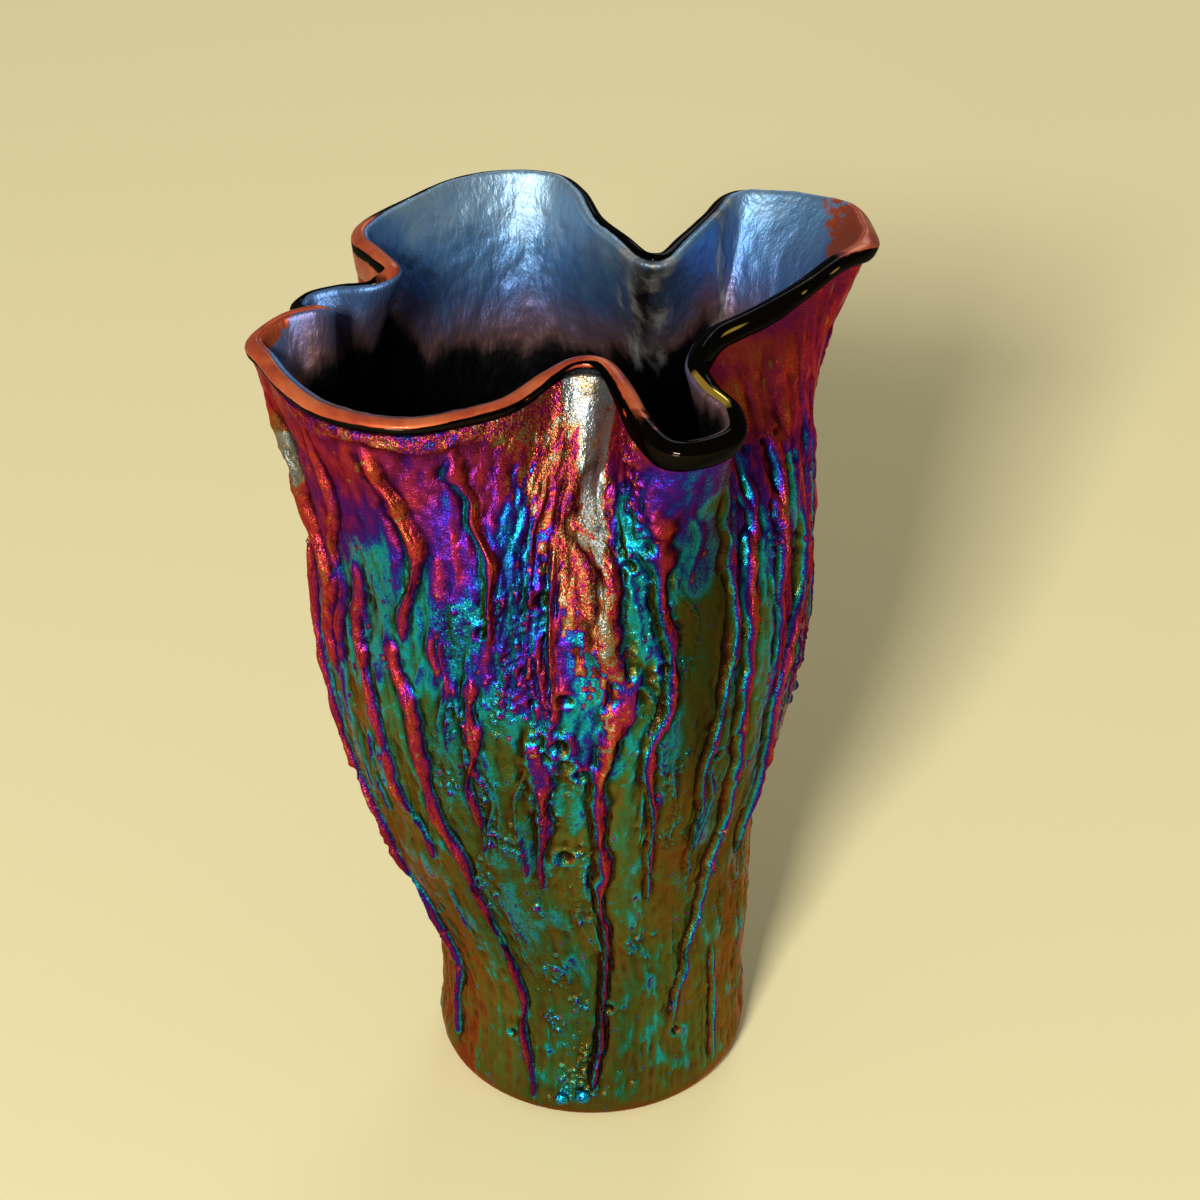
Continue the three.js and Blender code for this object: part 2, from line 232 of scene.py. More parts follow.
# %% Sizes of the wall, in millimetres
HEIGHT = 250.0
FOOT_RADIUS = 46.0
WAIST_RADIUS = 45.0
WAIST_HEIGHT = 25.0
BELLY_RADIUS = 69.0
BELLY_HEIGHT = 168.0
NECK_RADIUS = 66.0
LEAN = -8.3
LEAN_START = 40.0
LEAN_END = 100.0
WALL = 4.8
CASING = 2.2
CASING_FLOOR = 3.6
CORE_FLOOR = 7.0
HEEL_RADIUS = 5.0
WELL_RADIUS = 6.0
LIP_DROP = 2.0
SEAM_GAP = 0.3
START_ANGLE = -158.0
SEAM = WALL / 2 - CASING

# x, y, rise above HEIGHT, and how far down the wall the lobe or fold can be followed
RIM_OUTLINE = np.array([
    # wide front left lobe
    (-89, -12.5, -3, 95), (-85, -22, -3, 95), (-79, -32.5, -4, 95), (-70, -44, -4, 95),
    (-59, -50.5, -4, 100), (-46.5, -53, -4, 100), (-34.5, -51, -3, 100), (-22, -46, -2, 100),
    # front fold
    (-12, -36.5, 0, 95), (-4, -32.5, 2, 95), (4, -34, 2, 85), (9.5, -43, 0, 75),
    # narrow front lobe
    (14, -54, -3, 65), (20, -62, -5, 60), (28, -62.5, -5, 60), (36, -56, -5, 65),
    (35.5, -48, -3, 75), (30, -41, -1, 80),
    # right front fold
    (27, -31, 1, 75), (31.5, -18, 2, 65), (41, -8.5, 2, 55),
    # raised right lobe
    (53.5, 3.5, 3, 48), (65.5, 17.5, 5, 45), (75, 27, 6, 45), (75.5, 38, 5, 48), (73, 49.5, 4, 50),
    (63, 57.5, 3, 55), (50.5, 62.5, 2, 60), (40, 61.5, 2, 75), (33.5, 50, 1, 90),
    # back right fold
    (26, 36, 1, 95), (20.5, 26, 1, 95), (14.5, 26, 1, 90), (8.5, 36, 1, 85),
    # tall back lobe
    (1, 51, 0, 80), (-4, 68, 0, 80), (-11, 77.5, 0, 80), (-25, 79.5, 0, 80), (-39, 74.5, 0, 75),
    (-51.5, 64, -1, 70), (-62, 50.5, -1, 65), (-64, 41, -1, 70),
    # left back fold
    (-58.5, 30, 0, 75), (-54, 20.5, 0, 70), (-60, 16.5, -2, 60),
    # small left lobe
    (-69, 19.5, -5, 55), (-77, 19, -7, 55), (-79, 12.5, -7, 65),
    # left fold
    (-71, 1, -2, 70), (-73.5, -3.5, 1, 80), (-82, -4.5, -1, 85),
])
print("the rim has", len(RIM_OUTLINE), "outline points")


# %% The rim as a smooth closed curve, evenly spaced by its length
def closed_spline(points, per_span):
    """A Catmull-Rom curve through rows of numbers that comes back to its start."""
    share = (np.arange(per_span) / per_span)[:, None]
    rolled = [np.roll(points, shift, axis=0)[:, None] for shift in (1, 0, -1, -2)]
    before, start, end, after = rolled
    bend = 2 * before - 5 * start + 4 * end - after
    twist = 3 * start - before - 3 * end + after
    spans = (2 * start + (end - before) * share + bend * share**2 + twist * share**3) / 2
    return spans.reshape(-1, points.shape[1])


FINE_STEPS = 24  # fine points in each span of the outline
rim_fine = closed_spline(RIM_OUTLINE, FINE_STEPS)
rim_steps = np.linalg.norm(np.roll(rim_fine[:, :3], -1, axis=0) - rim_fine[:, :3], axis=1)
rim_turns = np.concatenate([[0.0], np.cumsum(rim_steps)]) / rim_steps.sum()
RIM_LENGTH = rim_steps.sum()
rim_looped = np.vstack([rim_fine, rim_fine[:1]])
print("the lip is %.0f mm round" % RIM_LENGTH)


# %% The middle of the wall, and its directions
def ease(share):
    return (1 - np.cos(np.pi * np.clip(share, 0, 1))) / 2


def between(z, low_height, high_height, low, high):
    return low + (high - low) * ease((z - low_height) / (high_height - low_height))


def body_radius(z):
    foot = between(z, 0, WAIST_HEIGHT, FOOT_RADIUS, WAIST_RADIUS)
    belly = between(z, WAIST_HEIGHT, BELLY_HEIGHT, WAIST_RADIUS, BELLY_RADIUS)
    neck = between(z, BELLY_HEIGHT, HEIGHT, BELLY_RADIUS, NECK_RADIUS)
    return np.where(z < WAIST_HEIGHT, foot, np.where(z < BELLY_HEIGHT, belly, neck))


def wall_middle(turn, height):
    """Points of the middle surface, in mm. turn runs once round from 0 to 1."""
    turn, height = np.broadcast_arrays(np.asarray(turn, float), np.asarray(height, float))
    turn = turn - np.floor(turn)
    edge_x, edge_y, rise, depth = (
        np.interp(turn, rim_turns, rim_looped[:, column]) for column in range(4)
    )
    fade = np.clip(1 - (HEIGHT - height) / depth, 0, None) ** 2
    angle = math.radians(START_ANGLE) + 2 * np.pi * turn
    radius = body_radius(height) - WALL / 2
    x = between(height, LEAN_START, LEAN_END, 0, LEAN) + radius * np.cos(angle)
    y = radius * np.sin(angle)
    z = height + rise * (height / HEIGHT) ** 3
    return np.stack([x + (edge_x - x) * fade, y + (edge_y - y) * fade, z], axis=-1)


def unit(vectors):
    return vectors / np.linalg.norm(vectors, axis=-1, keepdims=True)


def wall_frame(turn, height):
    """Unit vectors on the wall: out of it, up it and round it."""
    reach = 1.0
    low = wall_middle(turn, np.maximum(height - reach, 0))
    high = wall_middle(turn, np.minimum(height + reach, HEIGHT))
    up = unit(high - low)
    step = reach / RIM_LENGTH
    round_it = unit(wall_middle(turn + step, height) - wall_middle(turn - step, height))
    return unit(np.cross(round_it, up)), up, round_it


def turn_of(angle):
    return (np.asarray(angle, float) - START_ANGLE) / 360.0


def angle_of(turn):
    """Degrees round the body, from -180 to 180, with 0 along +X."""
    return (START_ANGLE + 360.0 * np.asarray(turn) + 180.0) % 360.0 - 180.0


# %% [markdown]
# ## Chance that repeats
#
# Bark is irregular at every size, and the script has to give the same bark each time. So chance
# comes from lattices of numbers with fixed seeds, smoothed between their points. The lattice closes
# on itself round the vase, and it is stretched upwards, because the skin was pulled that way while
# hot.

# %% Noise round the vase
LATTICE_ROWS = 64
LATTICE_OFFSET = 7.3  # rows below the foot, so that no lattice starts with a row right at it


def lattice_noise(turn, height, across, tall, seed):
    """Smooth noise from 0 to 1. across is lumps round the vase, tall is a lump's height in mm."""
    values = np.random.default_rng(seed).random((across, LATTICE_ROWS))
    u = np.asarray(turn) * across
    v = np.asarray(height) / tall + LATTICE_OFFSET
    column = np.floor(u).astype(int)
    row = np.floor(v).astype(int)
    fu = u - column
    fv = v - row
    fu = fu * fu * fu * (fu * (fu * 6 - 15) + 10)
    fv = fv * fv * fv * (fv * (fv * 6 - 15) + 10)

    def along(j):
        left = values[column % across, (row + j) % LATTICE_ROWS]
        right = values[(column + 1) % across, (row + j) % LATTICE_ROWS]
        return left * (1 - fu) + right * fu

    return along(0) * (1 - fv) + along(1) * fv


def fractal(turn, height, across, tall, seed, octaves=3):
    """Noise with finer and weaker noise on it."""
    total = 0.0
    weight = 0.0
    for octave in range(octaves):
        size = 0.5**octave
        double = 2**octave
        layer = lattice_noise(turn, height, across * double, tall / double, seed + octave)
        total = total + size * layer
        weight += size
    return total / weight


def ridged(turn, height, across, tall, seed, octaves, sharpness):
    """Noise with sharp crests, 1 on a crest."""
    value = fractal(turn, height, across, tall, seed, octaves)
    return np.clip(1 - np.abs(2 * value - 1), 0, 1) ** sharpness


def hill(distance, reach=1.0):
    """1 in the middle, falling smoothly to 0 at reach."""
    return np.clip(1 - (distance / reach) ** 2, 0, 1) ** 2


def swing_from(turn, angle):
    """Degrees round the wall from an angle, the shorter way."""
    return (angle_of(turn) - angle + 180.0) % 360.0 - 180.0


def zone(turn, height, angle, level, wide, tall):
    """A soft patch of the skin round an angle and a height, wide in degrees and tall in mm."""
    return hill(np.hypot(swing_from(turn, angle) / wide, (height - level) / tall))


def sector(turn, angle, wide):
    """A soft patch at every height, wide in degrees round an angle that isn't near 180."""
    return hill(angle_of(turn) - angle, wide)


# %% [markdown]
# ## What the lip does round the rim
#
# The fired lip isn't the same all round. In front it shows a copper-coral top over a thin black
# edge, on the narrow lobe and the right it sags into a thick black roll, and at the back it is only
# a thin dark line. A short list of stations round the rim holds this, and the skin reads it too,
# because the bark has to stop where the lip begins.

# %% Stations of the lip: rim point, coral on top, coral below, skirt and overhang in mm, slimness
# the coral on top is partly a painted reflection, so it is set on the front stations and left off
# at the back
LIP_STATIONS = np.array([
    (0, 1.0, 0.3, 1.8, 0.5, 0.0), (3, 1.0, 0.0, 1.3, 0.4, 0.6), (6, 1.0, 0.0, 1.6, 0.5, 0.6),
    (8, 1.0, 0.0, 2.2, 0.6, 0.2), (9, 1.0, 0.7, 1.0, 0.4, 0.0), (10, 1.0, 0.3, 1.8, 0.6, 0.0),
    (11, 0.8, 0.0, 3.8, 0.9, 0.0), (12, 0.45, 0.0, 4.6, 1.0, 0.0), (13, 0.25, 0.0, 5.0, 1.1, 0.0),
    (15, 0.12, 0.0, 5.0, 1.1, 0.0), (16, 0.1, 0.0, 5.0, 1.1, 0.0), (18, 0.1, 0.0, 4.0, 1.0, 0.0),
    (20, 0.3, 0.0, 4.5, 1.2, 0.0), (22, 0.4, 0.0, 4.0, 1.2, 0.0), (23, 0.9, 0.0, 4.5, 1.6, 0.0),
    (24, 1.0, 0.1, 4.0, 1.6, 0.0), (25, 1.0, 0.4, 2.0, 0.8, 0.0), (27, 0.2, 0.0, 1.2, 0.3, 0.8),
    (28, 0.0, 0.0, 1.2, 0.3, 1.0), (39, 0.0, 0.0, 1.2, 0.3, 1.0), (41, 1.0, 1.0, 9.0, 0.3, 0.0),
    (43, 1.0, 1.0, 7.0, 0.3, 0.0), (44, 0.3, 0.2, 2.0, 0.3, 0.4), (47, 0.2, 0.0, 1.4, 0.4, 0.6),
    (49, 0.9, 0.0, 1.4, 0.5, 0.0),
])
station_turns = rim_turns[(LIP_STATIONS[:, 0] * FINE_STEPS).astype(int)]
CORAL_TOP, CORAL_SKIRT, SKIRT, OVERHANG, SLIM = 1, 2, 3, 4, 5


def round_lip(turn, column):
    """One value of the lip at any turn."""
    return np.interp(turn, station_turns, LIP_STATIONS[:, column], period=1.0)


skirts = LIP_STATIONS[:, SKIRT]
print("the skirt is %.1f to %.1f mm deep" % (skirts.min(), skirts.max()))

# %% [markdown]
# ## The ridges
#
# The bark's main ridges are trails: threads of hot glass dropped down the wall. Their routes are
# the frame's, and each is drawn as a few angles and heights. Where a trail lies the skin
# under it swells too, since the hot thread sinks in, so the same routes shape the skin and the
# trails on it.

# %% Routes of the trails: width and rise in mm, taper, then angle and share of the height
TRAILS = {
    "crest_ridge": (11, 2.6, 0.3, [(-83, 0.87), (-80, 0.81), (-78, 0.75), (-77, 0.69)]),
    "rope_ridge": (6.5, 3, 0.5, [
        (-78, 0.665), (-81, 0.52), (-79, 0.37), (-81, 0.26), (-87, 0.16), (-89, 0.08)]),
}
# bark_ridge_01 to bark_ridge_25, in order
BARK_RIDGES = [
    (7, 2.8, 0.4, [(-156, 0.92), (-156, 0.83), (-152, 0.75), (-154, 0.65)]),
    (5, 2, 0.6, [(-141, 0.94), (-141, 0.87), (-145, 0.79), (-149, 0.66)]),
    (5, 2.2, 0.5, [(-129, 0.94), (-125, 0.9), (-122, 0.85), (-125, 0.75)]),
    (5, 2, 0.5, [(-138, 0.79), (-141, 0.7), (-137, 0.61), (-136, 0.53), (-128, 0.42)]),
    (5, 2.2, 0.4, [(-130, 0.71), (-125, 0.62), (-124, 0.51), (-117, 0.4), (-116, 0.27),
     (-116, 0.14), (-112, 0.04)]),
    (5, 2.4, 0.7, [(-115, 0.94), (-111, 0.9), (-107, 0.83), (-107, 0.76)]),
    (5, 2, 0.6, [(-111, 0.68), (-109, 0.61), (-112, 0.54), (-110, 0.46)]),
    (4.5, 2, 0.3, [(-93, 0.82), (-92, 0.75), (-91, 0.67)]),
    (7, 2.4, 0.6, [(-96, 0.61), (-95, 0.52), (-96, 0.42)]),
    (5, 2.4, 0.5, [(-68, 0.89), (-67, 0.81), (-65, 0.74), (-65, 0.67), (-69, 0.6), (-67, 0.5),
     (-64, 0.37)]),
    (5, 2, 0.6, [(-54, 0.89), (-49, 0.82), (-48, 0.74), (-51, 0.62), (-54, 0.54), (-52, 0.39)]),
    (6, 2.6, 0.4, [(-38, 0.85), (-42, 0.76), (-43, 0.61), (-41, 0.45), (-45, 0.32), (-55, 0.23),
     (-57, 0.16)]),
    (5, 2.2, 0.5, [(-25, 0.88), (-29, 0.8), (-32, 0.66)]),
    (6, 2.8, 0.4, [(-19, 0.77), (-29, 0.6), (-28, 0.37)]),
    (5, 2, 0.4, [(-41, 0.2), (-38, 0.13), (-38, 0.06)]),
    (6, 2.4, 0.4, [(0, 0.82), (4, 0.68), (2, 0.52), (8, 0.36)]),
    (5, 2, 0.4, [(8, 0.24), (14, 0.14), (12, 0.05)]),
    (6, 2.4, 0.4, [(22, 0.84), (26, 0.7), (24, 0.56), (30, 0.42), (28, 0.28)]),
    (5, 2.2, 0.4, [(48, 0.78), (46, 0.64), (52, 0.48), (50, 0.34), (54, 0.18)]),
    (5, 2, 0.5, [(74, 0.74), (70, 0.6), (74, 0.44)]),
    (6, 2.6, 0.4, [(92, 0.84), (96, 0.7), (92, 0.54), (98, 0.36), (96, 0.2), (99, 0.06)]),
    (5, 2.2, 0.5, [(118, 0.8), (122, 0.66), (118, 0.5), (124, 0.34)]),
    (6, 2.4, 0.4, [(142, 0.84), (146, 0.72), (142, 0.56), (136, 0.4), (139, 0.24)]),
    (5, 2.2, 0.4, [(168, 0.76), (172, 0.6), (168, 0.45), (162, 0.32), (160, 0.16)]),
    (6, 2.4, 0.4, [(188, 0.8), (192, 0.66), (198, 0.52), (208, 0.37), (214, 0.2), (210, 0.07)]),
]
for order, ridge in enumerate(BARK_RIDGES, 1):
    TRAILS["bark_ridge_%02d" % order] = ridge


def route_angle(route, height):
    """The angle of a trail at heights in mm, easing from point to point."""
    angles = np.full(np.shape(height), float(route[0][0]))
    for (high_angle, high_share), (low_angle, low_share) in zip(route, route[1:]):
        low = low_share * HEIGHT
        high = high_share * HEIGHT
        eased = between(height, low, high, low_angle, high_angle)
        angles = np.where(height <= high, eased, angles)
    return angles


def ends_of(route):
    return route[0][1] * HEIGHT, route[-1][1] * HEIGHT


def sway_of(height, width, seed):
    """How far a ridge wanders sideways from its route, in mm."""
    return 0.36 * width * (lattice_noise(0, height, 1, 16.0, seed) - 0.5)


def half_width(height, width, taper, route, seed):
    """Half the width of a ridge: knotted along its length, and thinning downwards."""
    top, bottom = ends_of(route)
    down = np.clip((top - height) / (top - bottom), 0, 1)
    knots = 0.36 + 0.84 * lattice_noise(0, height, 1, 8.0, seed + 2)
    drawn_out = 0.55 + 0.45 * ease((height - 70.0) / 90.0)
    return 0.5 * width * knots * drawn_out * (1 - taper * down)


def trail_seed(order):
    return 400 + 20 * order


print("trails:", len(TRAILS))

# %% [markdown]
# ## The skin's relief
#
# The relief is one height map over the outer wall: wrinkles at three sizes, ragged ridges along the
# trails, fine threads between them, lumps, popped bubbles and grit. Patches of the wall that were
# marvered smooth get less of it. The map is a grid, a column for each step round and a row for each
# step up, so small marks can be stamped on it one by one.

# %% The grid of the outer wall
COLUMNS = 760
ROWS = 340
turns = np.arange(COLUMNS) / COLUMNS
heights = np.linspace(0.0, HEIGHT, ROWS)
grid = grid_turn, grid_height = np.meshgrid(turns, heights)
print("outer wall grid:", grid_turn.shape)


# %% The crest, a silver fold that comes down from the lip
CREST_ROUTE = [(-89, 1.0), (-87, 0.94), (-82, 0.85), (-77.5, 0.76), (-77, 0.62)]
# height and half the crest's width there, in degrees
CREST_LEVELS = [150, 175, 205, 235, 250]
CREST_HALVES = [2.0, 3.5, 6.0, 8.0, 10.0]


def crest_side(turn, height):
    """Distance from the crest's route, 1 at its edge."""
    angle = route_angle(CREST_ROUTE, np.maximum(height, CREST_ROUTE[-1][1] * HEIGHT))
    return swing_from(turn, angle) / np.interp(height, CREST_LEVELS, CREST_HALVES)


def crest_reach(height, start, end):
    return ease((height - start) / (end - start))


# %% Wrinkles and smooth patches
def roughness_map(turn, height):
    """How barky the skin is, from 0, marvered smooth, to 1."""
    smooth_front = zone(turn, height, -57, 200, 11, 75)
    smooth_low = 0.6 * zone(turn, height, -60, 110, 10, 70)
    smooth_left = 0.35 * zone(turn, height, -124, 222, 22, 26)
    smooth_crest = 0.75 * hill(crest_side(turn, height), 1.2) * crest_reach(height, 170.0, 215.0)
    patchy = 0.6 + 0.6 * fractal(turn, height, 9, 60.0, 11)
    calm_foot = 0.5 * (1 - ease((height - 100.0) / 70.0))
    left = (1 - smooth_front) * (1 - smooth_low) * (1 - smooth_left) * (1 - smooth_crest)
    return np.clip(patchy * left * (1 - calm_foot), 0, 1.1)


def bark(turn, height):
    wander = 0.014 * (fractal(turn, height, 14, 34.0, 21) - 0.5)
    bent = turn + wander
    folds = ridged(bent, height, 26, 95.0, 31, 2, 2.5)
    wrinkles = ridged(bent, height, 64, 40.0, 41, 2, 2.2)
    crackle = ridged(bent, height, 120, 13.0, 51, 3, 1.6)
    lumps = fractal(turn, height, 18, 22.0, 61) - 0.5
    grain = fractal(turn, height, 240, 3.2, 71, 2) - 0.5
    return folds + 0.7 * wrinkles + 0.8 * crackle + 1.3 * lumps + 0.6 * grain


barky = roughness_map(*grid)
relief = barky * (bark(*grid) - 0.7)
low_down = 1 - ease((grid_height - 110.0) / 70.0)
relief += 1.5 * low_down * (fractal(*grid, 34, 11.0, 261) - 0.5)
print("wrinkles from %.2f to %.2f mm" % (relief.min(), relief.max()))


# %% Ragged ridges, and the creases beside them
def raise_ridge(ridges, creases, width, rise, taper, route, seed):
    """Keeps the higher of the grid and one ridge, and the deeper of its creases."""
    top, bottom = ends_of(route)
    tail = 1.6 * width
    near = (heights > bottom - tail) & (heights < top + tail)
    turn = grid_turn[near]
    height = grid_height[near]
    angle = route_angle(route, np.clip(height, bottom, top))
    sideways = np.radians(swing_from(turn, angle)) * body_radius(height)
    sideways = sideways + sway_of(height, width, seed)
    past = np.maximum(np.maximum(height - top, bottom - height), 0.0) / tail
    half = half_width(height, width, taper, route, seed) * (1 - 0.7 * past)
    fray = fractal(turn, height, 130, 6.0, seed + 1, 3) - 0.5
    distance = np.clip(np.abs(sideways) / half + 1.3 * fray, 0, None)
    remains = 1 - ease(past)
    mound = np.clip(1 - distance**1.8, 0, 1) * remains
    crease = hill(distance - 1.35, 0.5) * remains
    ridges[near] = np.maximum(ridges[near], rise * mound)
    creases[near] = np.maximum(creases[near], 0.3 * rise * crease)


TRAIL_SWELL = 1.15  # the skin's ridge is wider than the trail on it
ridges = np.zeros_like(relief)
creases = np.zeros_like(relief)
for order, (width, rise, taper, route) in enumerate(TRAILS.values()):
    swollen = TRAIL_SWELL * width
    raise_ridge(ridges, creases, swollen, 0.75 * rise, taper, route, trail_seed(order))

THREADS = 230
chance = np.random.default_rng(8)
for order in range(THREADS):
    angle = chance.uniform(-180, 180)
    start = chance.uniform(0.3, 0.93)
    length = chance.uniform(0.04, 0.24)
    drift = chance.uniform(-6, 6)
    width = chance.uniform(1.4, 3.4)
    rise = chance.uniform(0.5, 1.4)
    stop = max(start - length, 0.03)
    route = [(angle, start), (angle + drift, 0.5 * (start + stop)), (angle + 0.6 * drift, stop)]
    rise *= float(roughness_map(turn_of(angle), start * HEIGHT))
    raise_ridge(ridges, creases, width, rise, 0.7, route, 2000 + 5 * order)
relief += ridges - creases * (1 - np.clip(ridges, 0, 1))
print("with ridges from %.2f to %.2f mm" % (relief.min(), relief.max()))


# %% [markdown]
# Small marks come next. A bubble that rose to the skin and popped leaves a round pit with a thin
# rim. Grit and crumbs of glass leave pimples, alone or in clusters. Each is stamped on the few grid
# points round it.

# %% Pits and pimples
STAMP_REACH = 1.6  # a pit's rim ends within this many radii


def stamp(target, angle, level, radius, height, shape):
    """Adds shape(distance / radius) * height to the grid round one spot. Sizes in mm."""
    middle = float(turn_of(angle)) * COLUMNS
    column = int(round(middle))
    row = int(round(level / HEIGHT * (ROWS - 1)))
    across = 2 * np.pi * body_radius(level) / COLUMNS
    tall = HEIGHT / (ROWS - 1)
    aside = int(STAMP_REACH * radius / across) + 1
    above = int(STAMP_REACH * radius / tall) + 1
    rows = np.arange(max(row - above, 0), min(row + above + 1, ROWS))
    columns = np.arange(column - aside, column + aside + 1)
    dx = (columns[None, :] - middle) * across
    dz = rows[:, None] * tall - level
    place = np.ix_(rows, columns % COLUMNS)
    target[place] += height * shape(np.hypot(dx, dz) / radius)


def pit(distance):
    """A hollow with a raised rim."""
    rim = 0.45 * hill(distance - 1.05, 0.45)
    return rim - hill(distance, 0.95)


marks = np.zeros_like(relief)
crumbs = np.zeros_like(relief)
# how many, their heights, their sizes, and how tall each is for its size; a hill is a pimple
SCATTERED = [(700, (6, 238), (0.7, 1.7), 0.35, hill), (110, (12, 225), (1.2, 2.6), 0.45, pit)]
for count, levels, sizes, steepness, shape in SCATTERED:
    for _ in range(count):
        angle = chance.uniform(-180, 180)
        level = chance.uniform(*levels)
        size = chance.uniform(*sizes)
        if chance.random() < roughness_map(turn_of(angle), level):
            stamp(marks, angle, level, size, steepness * size, shape)

# clusters of crumbs: angle, height and size of the cluster
CLUSTERS = [
    (-100, 192, 9), (-97, 178, 8), (-92, 160, 8), (-88, 148, 7), (-103, 168, 7), (-113, 158, 6),
    (-95, 130, 7), (-85, 112, 7), (-68, 190, 9), (-66, 168, 8), (-64, 140, 8), (-62, 118, 7),
    (-106, 120, 6), (-118, 140, 6), (-74, 232, 6), (-72, 215, 6), (-92, 26, 5), (-98, 60, 6),
    (-112, 98, 6), (-40, 90, 6), (-30, 200, 6), (60, 150, 9), (110, 190, 9), (150, 120, 9),
    (-170, 190, 7), (20, 60, 8), (85, 90, 8), (-150, 110, 6), (-108, 136, 4), (-103, 116, 4),
    (-98, 88, 3), (-94, 46, 3), (-85, 86, 3), (-104, 38, 4), (-100, 13, 6), (-91, 15, 6),
    (-70, 72, 4),
]
CRUMBS_PER_MM = 4.5
for angle, level, spread in CLUSTERS:
    for _ in range(int(CRUMBS_PER_MM * spread)):
        aside = chance.normal(0, 0.4 * spread)
        above = chance.normal(0, 0.85 * spread)
        size = chance.uniform(0.45, 1.3)
        where = angle + math.degrees(aside / float(body_radius(level)))
        stamp(marks, where, level + above, size, 0.6 * size, hill)
        stamp(crumbs, where, level + above, 1.3 * size, 1.0, hill)

# the large popped bubbles on the front, rough inside
for angle, level, size in [(-90, 155, 3.4), (-85, 145, 2.6), (-89, 112, 3.0), (-95, 197, 2.8)]:
    stamp(marks, angle, level, size, 1.5, pit)
    stamp(crumbs, angle, level, size, 0.9, hill)
crumbs = np.clip(crumbs, 0, 1)
relief += marks

# a field of crushed glass rolled into the left shoulder
grit_zone = zone(*grid, -114, 190, 9, 17)
grit = fractal(*grid, 330, 1.6, 81, 1)
relief += 0.55 * grit_zone * (grit - 0.4)
print("marked relief from %.2f to %.2f mm" % (relief.min(), relief.max()))

# %% The skin meets the lip and the foot
below_lip = HEIGHT - grid_height - round_lip(grid_turn, SKIRT)
relief *= (0.08 + 0.92 * ease(below_lip / 9.0)) * ease((grid_height - 1.0) / 9.0)

# nuggets crowd under the lip of the wide lobe, of the narrow one and of the right tip
wide_lobe = sector(grid_turn, -124.0, 27.0) ** 0.5
narrow_lobe = sector(grid_turn, -76.0, 6.0)
right_tip = sector(grid_turn, 12.0, 9.0)
ragged_edge = 3.0 + 6.5 * fractal(grid_turn, 0, 40, 1.0, 331)
fringe = np.clip(wide_lobe + 0.8 * narrow_lobe + right_tip, 0, 1)
fringe = fringe * ease((ragged_edge - below_lip) / 2.0)
nuggets = ridged(*grid, 230, 2.6, 341, 1, 1.0)
relief += fringe * (0.35 + 0.9 * nuggets) * ease(below_lip / 1.2 + 0.4)
relief = np.clip(relief, -1.5, 3.4)
print("finished relief from %.2f to %.2f mm" % (relief.min(), relief.max()))


# %% Reading a grid between its points
def sample(field, turn, height):
    """Bilinear reading of a grid field at any turn and height."""
    u = (np.asarray(turn) - np.floor(turn)) * COLUMNS
    v = np.clip(np.asarray(height) / HEIGHT, 0, 1) * (ROWS - 1)
    column = np.floor(u).astype(int)
    row = np.minimum(np.floor(v).astype(int), ROWS - 2)
    fu = u - column
    fv = v - row
    left = column % COLUMNS
    right = (column + 1) % COLUMNS
    low = field[row, left] * (1 - fu) + field[row, right] * fu
    high = field[row + 1, left] * (1 - fu) + field[row + 1, right] * fu
    return low * (1 - fv) + high * fv


def blurred(field, reach):
    """The mean of a grid over a window of reach mm each way, wrapping round the vase."""
    columns = int(reach / (2 * math.pi * BELLY_RADIUS / COLUMNS))
    rows = int(reach / (HEIGHT / ROWS))
    steps = range(-columns, columns + 1)
    wide = sum(np.roll(field, step, axis=1) for step in steps) / len(steps)
    padded = np.pad(wide, ((rows, rows), (0, 0)), mode="edge")
    return sum(padded[step:step + len(field)] for step in range(2 * rows + 1)) / (2 * rows + 1)


# %% [markdown]
# ## The lustre
#
# The film's thickness is a second map. It is thin low down, where the vase was furthest from the
# fume, and it shows brown and olive there. It thickens towards the shoulder through green, blue and
# violet, and it is thickest under the lip and on the crest, where red turns to gold and silver. On
# the crest, which leans up towards the light, the silver is partly a painted highlight.
# Ridges catch more fume than hollows, so each ridge runs through several colours from its foot to
# its top. One flank of each ridge is painted redder and the other bluer: painted light, the lit
# flank against the one turned away.

# %% The thickness of the film on a plain wall
FILM_BY_LEVEL = [
    (0.0, 0.12), (0.1, 0.17), (0.3, 0.20), (0.5, 0.22), (0.6, 0.26), (0.7, 0.37), (0.8, 0.49),
    (0.88, 0.57), (0.94, 0.65), (1.0, 0.70)]
# angle, height, wide in degrees, tall in mm, thickness
# the first zone, low on the left side, is a painted sheen: the reddish brown that the film shows at
# a grazing view
FILM_ZONES = [
    (-152, 30, 30, 70, 0.03), (-126, 166, 19, 17, 0.26), (-131, 194, 22, 34, 0.35),
    (-114, 190, 9, 18, 0.40), (-103, 206, 9, 28, 0.45), (-126, 238, 28, 17, 0.67),
    (-95, 178, 10, 20, 0.54), (-81, 160, 9, 14, 0.47), (-90, 140, 12, 14, 0.33),
    (-70, 196, 6, 36, 0.37), (-56, 186, 12, 72, 0.20), (-59, 206, 6, 20, 0.44),
    (-64, 238, 14, 15, 0.46), (-74, 226, 4, 12, 0.60), (-154, 226, 4, 11, 0.95),
    (-24, 236, 18, 20, 0.92), (-37, 230, 6, 10, 0.95), (-60, 100, 12, 60, 0.14),
    (-73, 212, 8, 26, 0.40), (-59, 208, 9, 24, 0.42), (-115, 218, 7, 14, 0.55),
    (-104, 168, 6, 10, 0.30), (-86, 126, 4, 12, 0.36), (-112, 128, 4, 8, 0.32),
    (-99, 108, 4, 10, 0.36), (-90, 74, 3, 26, 0.30), (-100, 20, 12, 9, 0.25),
    (-104, 84, 8, 12, 0.25), (-96, 44, 7, 10, 0.24), (-84, 104, 3, 10, 0.31),
]


